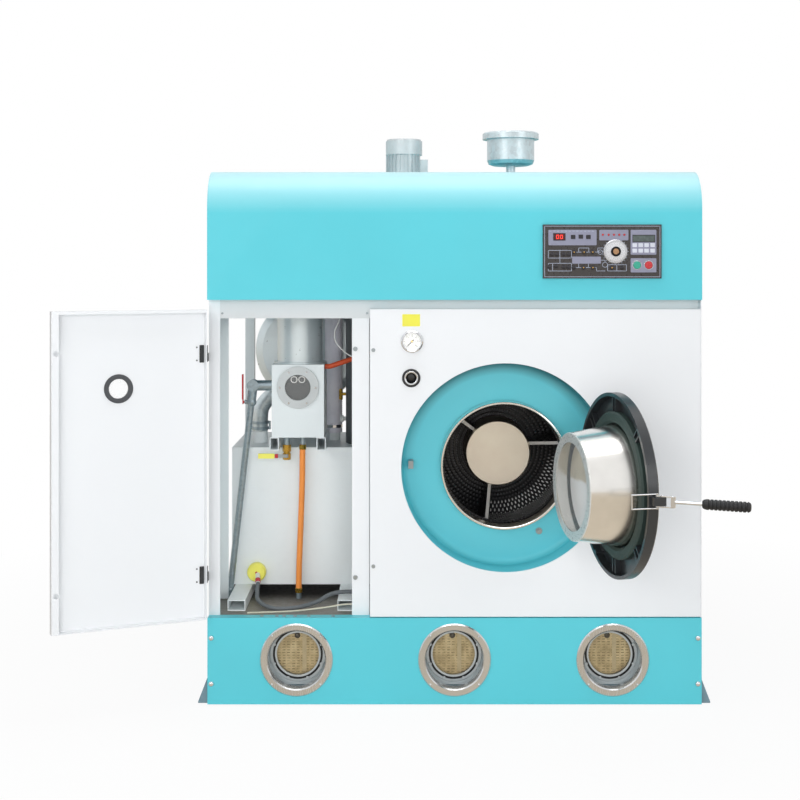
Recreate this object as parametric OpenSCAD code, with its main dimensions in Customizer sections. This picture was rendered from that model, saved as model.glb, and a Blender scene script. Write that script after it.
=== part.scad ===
// Front-loading dry cleaning machine: a sheet-steel cabinet with a drum side and an open service bay.
// X runs to the right, the front faces -Y and Z is up. The origin is on the floor,
// at the centre of the rectangle of floor bolt holes.

/* [Cabinet] */
// Width of the cabinet
body_w = 1750; // [1700:10:1900]
// Depth of the cabinet
body_d = 1200; // [1160:10:1400]
// Thickness of the sheet steel
sheet = 3; // [2:0.5:4]
// Gap between the plinth and the floor
plinth_gap = 6; // [5.5:0.5:10]
// Height of the top of the plinth
plinth_h = 312; // [305:1:330]
// Height of the underside of the hood
hood_bottom = 1438; // [1430:1:1480]
// Height of the top of the hood
hood_top = 1899; // [1850:1:1960]
// Radius of the hood's front top edge
hood_round = 135; // [60:5:180]
// How far the hood stands in front of the panels
hood_proud = 12; // [6:1:20]
// Depth of the panels' folded edges
pan_depth = 35; // [25:1:45]
// Distance from the service door to the front panel
door_margin = 37.5; // [30:0.5:45]
// Gap above and below the panels
panel_gap = 3; // [2:0.5:5]
// Distance from the top of the front panel to the underside of the hood
lintel_show = 33; // [25:1:50]

/* [Base] */
// Height of the floor rails
rail_h = 50; // [40:1:60]
// Width of the floor rails
rail_w = 60; // [50:1:80]
// Distance of the rails and floor bolts from the front and the back
rail_inset = 70; // [55:5:100]
// Thickness of the foot plates
foot_t = 5; // [4:0.5:5]
// How far the feet stand out at the sides
foot_out = 37; // [32:1:50]
// Height of the gussets on the feet
foot_h = 101; // [80:1:120]
// Radius of the floor bolt holes
floor_hole_r = 7; // [5:0.5:9]
// Thickness of the base cover
cover_t = 6; // [4:0.5:10]
// Wall of the tanks
tank_wall = 4; // [3:0.5:6]

/* [Sight ports] */
// Distance between the ports in the plinth
port_pitch = 560; // [540:5:570]
// Height of the ports
port_z = 164; // [155:1:170]
// Radius of the holes in the plinth
port_r = 113; // [105:1:115]
// Radius of the outside of the trim rings
trim_r = 129; // [125:1:132]
// Inner radius of the trim rings
trim_in_r = 102.5; // [100:0.5:104]
// Distance from the face of the plinth to the sight flanges
flange_back = 72; // [60:1:80]
// Outside radius of the sight flanges
flange_r = 100; // [96:1:101]
// Radius of the sight glasses
glass_r = 82; // [70:1:84]
// Radius of the circle of flange bolts
flange_bolt_r = 91.5; // [90:0.5:92]

/* [Loading opening] */
// Gap between the still tank and the tub
still_gap = 27.5; // [20:0.5:50]
// Height of the drum's axis
load_z = 843; // [835:1:850]
// Radius of the hole in the front panel
recess_r = 370; // [365:1:375]
// Depth of the recess behind the front panel
recess_depth = 115; // [115:1:120]
// Inner radius of the loading ring
ring_in_r = 220; // [220:1:222]
// Wall of the loading ring
ring_wall = 9; // [5:0.5:12]

/* [Drum] */
// Inner radius of the drum
drum_r = 262; // [250:1:280]
// Wall of the drum
drum_wall = 2.5; // [2:0.5:4]
// Place of the drum's front, behind the front panel
drum_front = 145; // [140:1:160]
// Inside length of the drum
drum_len = 395; // [380:1:420]
// Radius of the hub inside the drum
hub_r = 126; // [100:1:140]
// Length of the hub inside the drum
hub_len = 165; // [100:1:200]
// Gap between the drum and the tub
tub_gap = 35; // [25:1:45]
// Radius of the drum shaft
shaft_r = 30; // [25:1:35]
// Running clearance of shafts and pins in their bores
run_fit = 0.05; // [0.02:0.01:0.1]
// Radius of the drum pulley
pulley_r = 240; // [200:5:245]
// Radius of the motor pulley
motor_pulley_r = 50; // [45:1:60]
// Number of drive belts
belt_count = 2; // [1:1:3]
// Radius of the drive motor
motor_r = 95; // [80:1:105]

/* [Loading door] */
// Distance from the edge of the recess to the rim of the door disc
door_inset = 69; // [68:1:72]
// Depth of the door's rim
rim_depth = 35; // [30:1:36]
// Thickness of the door plate
door_plate = 8; // [6:1:10]
// Distance of the hinge pin in front of the front panel
hinge_proud = 40; // [38:1:45]
// Distance from the edge of the recess to the hinge pin, sideways
hinge_inset = 45; // [40:1:45]
// Distance from the hinge pin back to the edge of the rim, when closed
rim_setback = 85; // [84:1:88]
// Radius of the cone at the door
cone_base_r = 198; // [180:1:198]
// Radius of the cone at its tip
cone_tip_r = 175; // [160:1:175]
// Distance from the rim to the tip of the cone
cone_reach = 140; // [120:1:140]
// Radius of the door window
door_glass_r = 143; // [120:1:150]
// Outer radius of the door gasket
gasket_r = 240; // [235:1:245]
// Radius of the door hinge pin
hinge_pin_r = 10; // [8:0.5:12]
// Angle of the open loading door in degrees
load_open = 103; // [90:1:110]

/* [Latch] */
// Length of the latch lever with its grip
lever_len = 262; // [220:1:280]
// Length of the grip
grip_len = 142; // [110:1:150]
// Radius of the grip
grip_r = 16; // [12:0.5:17]
// Length of the wire bail
bail_len = 84; // [80:1:86]
// Half the height of the wire bail
bail_half = 21.5; // [21.5:0.5:24]
// Radius of the bail's wire
bail_wire = 2.5; // [2:0.25:3]

/* [Service door] */
// Width of the service door
service_w = 535; // [525:1:542]
// Angle of the open service door in degrees
service_open = 157; // [120:1:170]
// Distance of the door window from the hinge pin
window_off = 311; // [300:1:330]
// Height of the door window
window_z = 1135; // [1100:1:1200]
// Outside radius of the window's rubber ring
window_r = 50; // [45:1:60]
// Width of the flange along the door's free edge
flange_w = 25; // [22:1:28]
// Height of each hinge
hinge_h = 58; // [50:1:70]
// Heights of the two hinges
service_hinge_z = [467, 1248];

/* [Controls] */
// Left edge of the control panel
panel_x = 311; // [300:1:330]
// Height of the bottom of the control panel
panel_z = 1514; // [1500:1:1530]
// Width of the control panel
panel_w = 418; // [410:1:430]
// Height of the control panel
panel_h = 190; // [185:1:200]
// Thickness of the control panel
panel_t = 12; // [8:1:16]
// Radius of the programme dial
dial_r = 42; // [36:1:44]
// Radius of the push buttons
button_r = 13.5; // [11:0.5:15]
// Travel of the push buttons
button_travel = 3; // [2:0.5:4]
// Radius of the pressure gauge
gauge_r = 40; // [35:1:45]
// Outer radius of the level sight port
sight_r = 32.5; // [28:0.5:36]

/* [Service bay] */
// Width of the still tank
still_w = 680; // [660:5:690]
// Depth of the still tank
still_d = 470; // [440:5:480]
// Height of the still tank
still_h = 519; // [500:1:530]
// Distance from the front of the cabinet to the still tank
still_back = 335; // [330:1:345]
// Height of the tank's carrier tubes
carrier_h = 39; // [35:1:45]
// Width of the separator box
sep_w = 195; // [190:1:200]
// Height of the separator box
sep_h = 272; // [260:1:280]
// Depth of the separator box
sep_d = 200; // [195:1:205]
// Radius of the vapour column
column_r = 86; // [75:1:90]
// Radius of the condenser
condenser_r = 213; // [200:1:215]
// Length of the condenser
condenser_len = 320; // [300:5:400]
// Outer radius of the ribbed hose
ribbed_r = 36; // [32:1:38]
// Distance between the ribs of the hose
rib_pitch = 8; // [8:0.5:12]
// Radius of the filter housing
filter_r = 130; // [110:1:130]
// Height of the filter housing
filter_h = 520; // [450:5:530]

/* [Roof] */
// Sideways place of the fan motor
fan_x = -177; // [-190:1:-160]
// Radius of the fan motor
fan_motor_r = 72.5; // [65:0.5:80]
// Height of the fan motor
fan_motor_h = 162; // [140:1:180]
// Radius of the fan housing
fan_r = 200; // [180:1:210]
// Sideways place of the roof vessel
vessel_x = 248.5; // [240:0.5:260]
// Radius of the roof vessel
vessel_r = 94; // [85:1:100]
// Height of the roof vessel's body
vessel_h = 104; // [90:1:120]

/* [Hidden] */
$fn = 72;
gap = 0.3;
small = 0.01;
// Gap between welded or bolted pieces that stay separate solids
seam = 0.02;
front = -body_d / 2;
back = body_d / 2;
side = body_w / 2;
frame_front = front + pan_depth + gap;
cover_top = plinth_h;
cover_front = front + 40;
tank_top = cover_top - cover_t;
plinth_front = front - 4;
flange_t = 17;
flange_front = plinth_front + flange_back;
tank_front = flange_front + flange_t;
glass_t = 8;
panel_top = hood_bottom - lintel_show;
panel_bottom = plinth_h + panel_gap;
panel_right = side - sheet;
door_left = -side + sheet;
panel_left = door_left + service_w + door_margin;
post_w = 40;
post_depth = 273;
jamb_w = 62;
jamb_right = panel_left - panel_gap;
lintel_h = 67;
lintel_bottom = hood_bottom - lintel_h;
rail_end = side - sheet - 1;
rail_y = back - rail_inset;
jamb_left = jamb_right - jamb_w;
panel_bolt_z = [494, 1260];
jamb_bolt_z = [447, 1262];
jamb_bolt_x = jamb_right - 50;
jamb_bolt_r = 8;
sill_bolts = [191, 244, 270, 309, 357, 444];
foot_hole_x = side + foot_out / 2 + 1;
// Place of the drum's axis beside the still tank
tub_wall = 4;
tub_r = drum_r + drum_wall + tub_gap;
still_x = -side + 45;
load_x = still_x + still_w + still_gap + tub_r + tub_wall;
// Door, hinge and switch stud in the recess
door_r = recess_r - door_inset;
hinge_off = recess_r - hinge_inset;
stud_r = door_r - 22.8;
// Recess, ring and tub, front to back
recess_floor = front + recess_depth;
hinge_x = load_x + hinge_off;
hinge_y = front - hinge_proud;
rim_y = hinge_y + rim_setback;
gasket_face = rim_y - 5;
plate_back = rim_y - rim_depth + door_plate;
plate_front = rim_y - rim_depth;
ring_front = gasket_face + 0.5;
ring_r = ring_in_r + ring_wall;
tub_front = recess_floor + sheet + 1;
drum_y = front + drum_front;
drum_back = drum_y + drum_len;
tub_back = drum_back + drum_wall + tub_gap;
cone_tip = rim_y + cone_reach;
// Drive
housing_len = 110;
housing_back = tub_back + tub_wall + housing_len;
pulley_w = 60;
pulley_front = housing_back + 12;
shaft_back = pulley_front + pulley_w + 14;
groove_pitch = 22;
belt_w = 13;
belt_h = 10;
belt_seat = 0.5;
motor_x = load_x + 379;
motor_z = 440;
motor_len = 260;
motor_shaft_r = 14;
// Latch
latch_x = load_x - door_r - 18;
latch_y = plate_front - 2;
bail_off = [7, 15];
lever_dir = 36;
// Service door hinge pin
service_x = -side - 4;
service_y = front - 4;
service_pin_r = 3;
barrel_r = 6;
// Service bay
still_y = front + still_back;
still_z = cover_top + carrier_h;
still_top = still_z + still_h;
sep_x = still_x + 158.5;
sep_y = front + 250;
sep_rise = 48;
sep_z = still_top + sep_rise;
sep_top = sep_z + sep_h;
column_x = sep_x + sep_w / 2;
column_y = sep_y + sep_d / 2 + 13;
condenser_x = still_x + 270;
condenser_z = still_top + 352;
condenser_y = front + 620;
hose_x = still_x + 373;
hose_y = front + 571;
filter_x = still_x + 555;
filter_y = front + 500;
pipe_y = front + 280;
column_h = 400;
crossover_r = 40;
crossover_z = sep_top + column_h + 65;
sep_sight_z = sep_z + 187;
carrier_x = [still_x + 14, still_x + 411];
elbow_x = still_x + 91;
elbow_y = front + 487;
drain_x = column_x - 44;
drain_z = still_top - 21;
water_x = still_x + 80;
water_z = sep_z + 130;
orange_x = column_x + 16;
heater_x = still_x + 95;
heater_z = still_z + 50;
pipe_top = [still_x + 86, pipe_y, sep_z + 192];
pipe_low = [still_x - 2, pipe_y + 12, cover_top + 28];
cap_hose = [heater_x + 11, front + 260, cover_top + 60];
neck_r = 27;
// Instruments, studs and controls
gauge_x = load_x - 331.6;
gauge_z = 1290.7;
sight_x = load_x - 334.4;
sight_z = 1161;
stud_x = load_x + stud_r * cos(62.15);
stud_z = load_z - stud_r * sin(62.15);
panel_face = front - hood_proud - panel_t;
dial_x = panel_x + 255;
dial_z = panel_z + 95;
start_x = panel_x + 331;
stop_x = panel_x + 372;
button_z = panel_z + 47;
button_proud = 7;
// Roof
roof_y = front + 600;
duct_half = 130;
vessel_neck = 59;
housing_top = hood_top - sheet;
housing_h = 170;
duct_bottom = housing_top - housing_h - 160;
// Routes of the hoses and the conduit
orange_low = orange_x - 15;
orange_route = [[orange_x, pipe_y, still_top + 18], [orange_x - 1, pipe_y, still_top - 10],
    [orange_x - 2, pipe_y, still_top - 110], [orange_x - 7, pipe_y, still_top - 270],
    [orange_x - 13, pipe_y, cover_top + 138], [orange_low, pipe_y, cover_top + 48],
    [orange_low, pipe_y, cover_top + 22]];
red_y = front + 300;
red_route = [[sep_x + sep_w + 0.6, red_y, sep_top - 10], [sep_x + sep_w + 20, red_y, sep_top - 9.5],
    [sep_x + sep_w + 50, red_y, sep_top], [sep_x + sep_w + 104, red_y + 8, sep_top + 18],
    [filter_x - 55, filter_y - 162, sep_top + 32], [filter_x - 39.9, filter_y - 124.8, sep_top + 36]];
conduit_route = [cap_hose, cap_hose + [2, -45, -20], cap_hose + [12, -90, -42],
    [cap_hose[0] + 67, front + 100, cover_top + 9], [cap_hose[0] + 148, front + 100, cover_top + 9],
    [cap_hose[0] + 224, front + 145, cover_top + 18],
    [jamb_left - 65, front + 164, cover_top + 48], [jamb_left + 65, front + 168, cover_top + 50],
    [load_x - 281, front + 166, cover_top + 33], [motor_x - 260, front + 166, cover_top + 14],
    [motor_x - 150, front + 172, cover_top + 14], [motor_x - 130, front + 210, cover_top + 14],
    [motor_x - 130, front + 400, cover_top + 14], [motor_x - 132, front + 510, cover_top + 38],
    [motor_x - 135, front + 550, motor_z], [motor_x - 130, front + 552, motor_z + 70],
    [motor_x - 98, front + 552, motor_z + 101], [motor_x - 45.4, front + 552, motor_z + 103]];
thin_y = front + 52;
thin_route = [[still_x + 90, thin_y, cover_top + 3.3], [still_x + 130, thin_y, cover_top + 5],
    [still_x + 252, thin_y, cover_top + 10], [jamb_left - 105, thin_y, cover_top + 22],
    [jamb_left - 35, thin_y, cover_top + 33], [jamb_left - gap, thin_y, cover_top + 35]];
elbow_route = [[elbow_x, elbow_y, still_top + 46], [elbow_x, elbow_y, still_top + 90],
    [elbow_x + 8, elbow_y, still_top + 140], [elbow_x + 45, elbow_y + 2, still_top + 182],
    [elbow_x + 95, elbow_y + 20, still_top + 200], [elbow_x + 138, elbow_y + 70, still_top + 200],
    [elbow_x + 144, condenser_y - 0.6, still_top + 200]];

// Inner profile of the recess dish's rounded corner, at a given fillet radius
function dish_corner(r) = [for (a = [15:15:75])
    [recess_r - 25 + r * sin(a), recess_floor - 22 + r * cos(a)]];

// Turns a shape round the loading door's hinge pin from closed to the open rest position
module door_open() {
    translate([hinge_x, hinge_y, 0]) rotate([0, 0, load_open]) translate([-hinge_x, -hinge_y, 0]) children();
}

// Turns a shape round the service door's hinge pin from closed to open
module service_open_pose() {
    translate([service_x, service_y, 0]) rotate([0, 0, -service_open])
        translate([-service_x, -service_y, 0]) children();
}

// A solid of revolution round a front-to-back axis: profile points are [radius, y]
module turned(x, z, profile, facets = 96) {
    translate([x, 0, z]) rotate([90, 0, 0]) rotate_extrude($fn = facets)
        polygon([for (p = profile) [p[0], -p[1]]]);
}

// A rod along Y from y0 to y1
module rod_y(x, z, y0, y1, r, facets = 48) {
    translate([x, y1, z]) rotate([90, 0, 0]) cylinder(r = r, h = y1 - y0, $fn = facets);
}

// A box from one corner to the opposite one
module block(a, b) {
    translate(a) cube(b - a);
}

// Places its child on a circle round a front-to-back axis
module ring_y(x, z, r, count, start = 0) {
    for (i = [0:count - 1])
        translate([x + r * cos(start + i * 360 / count), 0, z + r * sin(start + i * 360 / count)]) children();
}

// A hexagon head bolt that points to -Y
module hex_head(y, r, h) {
    translate([0, y, 0]) rotate([90, 0, 0]) cylinder(r = r, h = h, $fn = 6);
}

// A straight pipe between two points
module pipe(a, b, r, facets = 32) {
    d = b - a;
    len = norm(d);
    translate(a) rotate([0, acos(d[2] / len), atan2(d[1], d[0])]) cylinder(r = r, h = len, $fn = facets);
}

// A rectangular tube along Z
module tube_z(a, b, wall) {
    difference() {
        block(a, b);
        block([a[0] + wall, a[1] + wall, a[2] - 1], [b[0] - wall, b[1] - wall, b[2] + 1]);
    }
}

// Points of a smooth curve through the route's points
function bend(p0, p1, p2, p3, t) = 0.5 * (2 * p1 + (p2 - p0) * t + (2 * p0 - 5 * p1 + 4 * p2 - p3) * t * t
    + (3 * p1 - p0 - 3 * p2 + p3) * t * t * t);
function smooth(route, steps) = let (n = len(route) - 1) [
    for (i = [0:n - 1], k = [0:steps - 1])
        bend(route[max(i - 1, 0)], route[i], route[i + 1], route[min(i + 2, n)], k / steps),
    route[n]
];
function unit(v) = v / norm(v);
function heading(points, i) = unit(points[min(i + 1, len(points) - 1)] - points[max(i - 1, 0)]);

// A bent tube through the route's points; up is a direction that the route never follows
module bent_tube(route, r, up, sides = 8, steps = 3) {
    points = smooth(route, steps);
    last = len(points) - 1;
    rings = [for (i = [0:last]) let (t = heading(points, i), u = unit(cross(up, t)), v = cross(t, u))
        for (k = [0:sides - 1]) points[i] + r * (cos(360 * k / sides) * u + sin(360 * k / sides) * v)];
    walls = [for (i = [0:last - 1], k = [0:sides - 1]) let (a = i * sides + k, b = i * sides + (k + 1) % sides)
        each [[a, b + sides, b], [a, a + sides, b + sides]]];
    caps = [for (k = [1:sides - 2]) each [[0, k, k + 1],
        [last * sides, last * sides + k + 1, last * sides + k]]];
    polyhedron(points = rings, faces = concat(walls, caps));
}

// ---- Base and cabinet ----

module foot() {
    y0 = rail_y - 40;
    y1 = rail_y + 40;
    difference() {
        block([rail_end - 10, y0, 0], [side + foot_out + 1, y1, foot_t]);
        translate([foot_hole_x, rail_y, -1]) cylinder(r = floor_hole_r, h = foot_t + 2, $fn = 48);
    }
    for (y = [y0, y1 - 6])
        translate([0, y + 6, 0]) rotate([90, 0, 0]) linear_extrude(6)
            polygon([[side + 1, foot_t], [side + foot_out + 1, foot_t], [side + 1, foot_h]]);
}

module base_frame() {
    color("slategray") for (s = [0, 1]) mirror([0, s, 0]) {
        block([-rail_end, rail_y - rail_w / 2, 0], [rail_end, rail_y + rail_w / 2, rail_h]);
        foot();
        mirror([1, 0, 0]) foot();
    }
}

module port_places() {
    for (i = [-1:1]) translate([i * port_pitch, 0, 0]) children();
}

module base_tank() {
    left = -side + 25;
    rear = back - 40;
    third = (2 * -left - 4 * tank_wall) / 3;
    color("lightgray") difference() {
        block([left, tank_front, rail_h], [-left, rear, tank_top]);
        for (i = [0:2]) translate([left + i * (third + tank_wall), 0, 0])
            block([tank_wall, tank_front + tank_wall, rail_h + tank_wall],
                [third + tank_wall, rear - tank_wall, tank_top + 1]);
        port_places() rod_y(0, port_z, tank_front - 1, tank_front + tank_wall + 1, glass_r, 72);
    }
}

module base_cover() {
    x = side - sheet - 0.5;
    color("silver") block([-x, cover_front, tank_top], [x, back - 4, cover_top]);
}

module plinth() {
    color("turquoise") difference() {
        union() {
            block([-side, plinth_front, plinth_gap], [side, plinth_front + sheet, plinth_h]);
            block([-side, plinth_front, plinth_h - sheet], [side, cover_front - 0.5, plinth_h]);
            for (s = [-1, 1]) block([s * side - (s > 0 ? sheet : 0), plinth_front, plinth_gap],
                [s * side + (s > 0 ? 0 : sheet), back, plinth_h]);
        }
        port_places() rod_y(0, port_z, plinth_front - 1, plinth_front + sheet + 1, port_r, 96);
    }
}

module sight_flanges() {
    color("gainsboro") port_places() {
        difference() {
            turned(0, port_z, [[glass_r - 6, flange_front], [flange_r, flange_front], [flange_r, tank_front],
                [glass_r - 6, tank_front]]);
            rod_y(0, port_z, tank_front - glass_t - gap, tank_front + 1, glass_r + gap, 96);
        }
        ring_y(0, port_z, flange_bolt_r, 8, 22.5) hex_head(flange_front, 6, 5);
    }
    color("gainsboro") difference() {
        turned(column_x, sep_sight_z, [[48, sep_y - 10], [78.5, sep_y - 10], [78.5, sep_y], [48, sep_y]]);
        rod_y(column_x, sep_sight_z, sep_y - 6 - gap, sep_y + 1, 54 + gap, 96);
    }
    color("gainsboro") ring_y(column_x, sep_sight_z, 66.5, 6, 0) hex_head(sep_y - 10, 4, 3);
}

module sight_glasses() {
    color("lightcyan") port_places() rod_y(0, port_z, tank_front - glass_t, tank_front, glass_r, 96);
    color("lightcyan") rod_y(column_x, sep_sight_z, sep_y - 6, sep_y, 54, 96);
}

module port_trims() {
    color("whitesmoke") port_places() {
        turned(0, port_z, [[trim_in_r + 4, plinth_front - 8], [trim_r - 4, plinth_front - 8],
            [trim_r, plinth_front - 4], [trim_r, plinth_front], [port_r - gap, plinth_front],
            [port_r - gap, plinth_front + 34], [trim_in_r, plinth_front + 34], [trim_in_r, plinth_front - 4]]);
        ring_y(0, port_z, (trim_r + port_r) / 2, 4, 45)
            translate([0, plinth_front - 8, 0]) sphere(r = 4, $fn = 24);
    }
}

module frame_posts() {
    outer = -side;
    // Deep left post: front lip, side sheet and rear lip
    color("white") difference() {
        block([outer, frame_front, plinth_h], [outer + post_w, front + post_depth, hood_bottom]);
        block([outer + sheet, frame_front + sheet, plinth_h - 1],
            [outer + post_w + 1, front + post_depth - sheet, hood_bottom + 1]);
    }
    // Jamb between the bay and the front panel
    color("white") tube_z([jamb_left, frame_front, plinth_h],
        [jamb_right, frame_front + 57, lintel_bottom], sheet);
    // Front right post and three rear posts
    color("lightsteelblue") {
        tube_z([panel_right - post_w, frame_front, plinth_h],
            [panel_right, frame_front + post_w, lintel_bottom], sheet);
        for (x = [outer, jamb_left, panel_right - post_w])
            tube_z([x, back - 4 - post_w, plinth_h], [x + post_w, back - 4, hood_bottom], sheet);
    }
}

module lintel() {
    color("lightgray") difference() {
        block([-side + post_w, frame_front, lintel_bottom], [panel_right, frame_front + 57, hood_bottom]);
        block([-side + post_w - 1, frame_front + sheet, lintel_bottom + sheet],
            [panel_right + 1, frame_front + 58, hood_bottom - sheet]);
    }
}

module front_panel() {
    color("white") difference() {
        block([panel_left, front, panel_bottom], [panel_right - gap, front + pan_depth, panel_top]);
        block([panel_left + sheet, front + sheet, panel_bottom + sheet],
            [panel_right - gap - sheet, front + pan_depth + 1, panel_top - sheet]);
        rod_y(load_x, load_z, front - 1, front + sheet + 1, recess_r, 144);
        rod_y(gauge_x, gauge_z, front - 1, front + sheet + 1, gauge_r - 3, 48);
        rod_y(sight_x, sight_z, front - 1, front + sheet + 1, sight_r - 4, 48);
    }
}

module right_panel() {
    color("white") block([side - sheet, front, plinth_h], [side, back, hood_bottom]);
}

// Outline of the hood seen from the right, drawn in by a given wall
module hood_outline(inset) {
    face = front - hood_proud + inset;
    top = hood_top - inset;
    r = hood_round - inset;
    translate([face + r, hood_bottom]) square([back - face - r, top - hood_bottom]);
    translate([face, hood_bottom]) square([r + 1, top - r - hood_bottom]);
    translate([face + r, top - r]) circle(r = r, $fn = 96);
}

module hood() {
    width = body_w - 2 * sheet;
    color("turquoise") difference() {
        rotate([90, 0, 90]) translate([0, 0, -width / 2]) linear_extrude(width) hood_outline(0);
        rotate([90, 0, 90]) translate([0, 0, -width / 2 - 1]) linear_extrude(width + 2) difference() {
            hood_outline(sheet);
            translate([front - hood_proud, hood_bottom - 1]) square([60, sheet + 1]);
        }
        translate([fan_x, roof_y, hood_top - sheet - 1]) cylinder(r = 16, h = sheet + 2);
        translate([vessel_x, roof_y, hood_top - sheet - 1]) cylinder(r = 14, h = sheet + 2);
        block([-width, back - small, hood_bottom - 1], [width, back + 1, hood_top + 1]);
    }
}

module hood_ends() {
    color("turquoise") for (x = [-side, side - sheet])
        rotate([90, 0, 90]) translate([0, 0, x]) linear_extrude(sheet) hood_outline(0);
}

module hood_rear() {
    x = side - sheet;
    color("turquoise") difference() {
        block([-x, back - sheet, hood_bottom], [x, back, hood_top - sheet]);
        for (i = [0:7], s = [-1, 1]) block([s * 480 - 160, back - sheet - 1, hood_bottom + 82 + i * 32],
            [s * 480 + 160, back + 1, hood_bottom + 92 + i * 32]);
    }
}

module fasteners() {
    color("silver") {
        for (s = [-1, 1], z = [79, 241])
            translate([s * (side - 14), plinth_front, z]) intersection() {
                sphere(r = 10, $fn = 24);
                block([-12, -12, -12], [12, 0, 12]);
            }
        for (z = panel_bolt_z) rod_y(panel_left + 12, z, front - 3, front, 7, 24);
        for (z = jamb_bolt_z) rod_y(jamb_bolt_x, z, frame_front - 6, frame_front, jamb_bolt_r, 24);
        for (x = sill_bolts)
            translate([x - side, front + 18, plinth_h]) cylinder(r = 7, h = 2.5, $fn = 6);
        for (x = [-side + post_w + 8, jamb_right - 8])
            rod_y(x, lintel_bottom + 18, frame_front - 2, frame_front, 4, 24);
    }
}

// ---- Loading opening, drum and drive ----

module recess_dish() {
    y1 = recess_floor;
    r1 = recess_r - 25;
    color("turquoise") turned(load_x, load_z, concat(
        [[ring_r + gap, y1], [r1, y1]],
        dish_corner(22),
        [[r1 + 22, y1 - 22], [recess_r - gap, front + sheet + small], [recess_r + 12, front + sheet + small],
         [recess_r + 12, front + 2 * sheet], [recess_r + 2, front + 2 * sheet], [r1 + 25, y1 - 20]],
        [for (a = [75:-15:15]) [r1 + 25 * sin(a), y1 - 22 + 25 * cos(a)]],
        [[r1, y1 + sheet], [ring_r + gap, y1 + sheet]]), 144);
}

module loading_ring() {
    color("silver") turned(load_x, load_z, [
        [ring_in_r, ring_front + 2], [ring_in_r + 2, ring_front], [ring_r - 2, ring_front],
        [ring_r, ring_front + 2],
        [ring_r, recess_floor + sheet + small], [ring_r + 12, recess_floor + sheet + small],
        [ring_r + 12, tub_front], [ring_in_r, tub_front]], 144);
}

module tub() {
    color("gray") {
        turned(load_x, load_z, [
            [ring_in_r + 1, tub_front], [tub_r + tub_wall, tub_front], [tub_r + tub_wall, tub_back + tub_wall],
            [shaft_r + 12, tub_back + tub_wall], [shaft_r + 12, tub_back], [tub_r, tub_back],
            [tub_r, tub_front + tub_wall], [ring_in_r + 1, tub_front + tub_wall]], 144);
    }
}

module tub_cradle() {
    color("dimgray") for (y = [tub_front + 70, tub_back - 90]) difference() {
        block([load_x - 230, y, cover_top], [load_x + 230, y + 30, load_z - 180]);
        rod_y(load_x, load_z, y - 1, y + 31, tub_r + tub_wall + gap, 144);
        block([load_x - 100, y - 1, cover_top + 40], [load_x + 100, y + 31, cover_top + 150]);
    }
}

module drum() {
    hub_front = drum_back - hub_len;
    end = drum_back - seam;
    rim = drum_r - 0.1;
    root = hub_r + 0.1;
    color("silver") {
        turned(load_x, load_z, [
            [ring_in_r - 5, drum_y], [drum_r + drum_wall, drum_y], [drum_r + drum_wall, drum_back + drum_wall],
            [0, drum_back + drum_wall], [0, drum_back], [drum_r, drum_back],
            [drum_r, drum_y + drum_wall], [ring_in_r - 5, drum_y + drum_wall]], 144);
        // The hub, a hollow cup on the drum's back
        turned(load_x, load_z, [
            [0, hub_front], [hub_r - 6, hub_front], [hub_r, hub_front + 6], [hub_r, end], [hub_r - 8, end],
            [hub_r - 8, hub_front + drum_wall], [0, hub_front + drum_wall]], 144);
        // Lifters
        for (a = [16, 136, 256]) translate([load_x, 0, load_z]) rotate([0, -a, 0])
            translate([0, 0, -6]) linear_extrude(12) polygon([[root, end], [rim, end],
                [rim, drum_y + 12], [drum_r - 14, drum_y + 12], [root, hub_front + 20]]);
    }
}

module drum_shaft() {
    y0 = drum_back + drum_wall;
    color("silver") {
        rod_y(load_x, load_z, y0, shaft_back, shaft_r, 72);
        rod_y(load_x, load_z, y0, y0 + 12, shaft_r + 40, 72);
    }
}

module bearing_housing() {
    y0 = tub_back + tub_wall;
    color("dimgray") difference() {
        union() {
            turned(load_x, load_z, [[shaft_r + run_fit, y0], [150, y0], [150, y0 + 16], [78, y0 + 22],
                [70, housing_back - 8], [66, housing_back], [shaft_r + run_fit, housing_back]]);
            for (a = [0:60:300]) translate([load_x, 0, load_z]) rotate([0, a, 0])
                block([60, y0 + 10, -5], [140, housing_back - 40, 5]);
        }
        rod_y(load_x, load_z, y0 - 1, housing_back + 1, shaft_r + run_fit, 72);
    }
}

// A V-belt pulley with rectangular grooves
module pulley(x, z, r, bore) {
    g0 = pulley_w / 2 - (belt_count - 1) * groove_pitch / 2;
    h = belt_w / 2 + belt_seat;
    grooves = [for (i = [0:belt_count - 1]) let (c = pulley_front + g0 + i * groove_pitch)
        each [[r, c - h], [r - belt_h, c - h], [r - belt_h, c + h], [r, c + h]]];
    turned(x, z, concat([[bore, pulley_front], [r, pulley_front]], grooves,
        [[r, pulley_front + pulley_w], [bore, pulley_front + pulley_w]]), 96);
}

module drum_pulley() {
    color("dimgray") difference() {
        pulley(load_x, load_z, pulley_r, shaft_r);
        ring_y(load_x, load_z, (pulley_r + shaft_r) / 2 - 2, 5, 18)
            rod_y(0, 0, pulley_front - 1, pulley_front + pulley_w + 1, 46, 48);
    }
}

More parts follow.
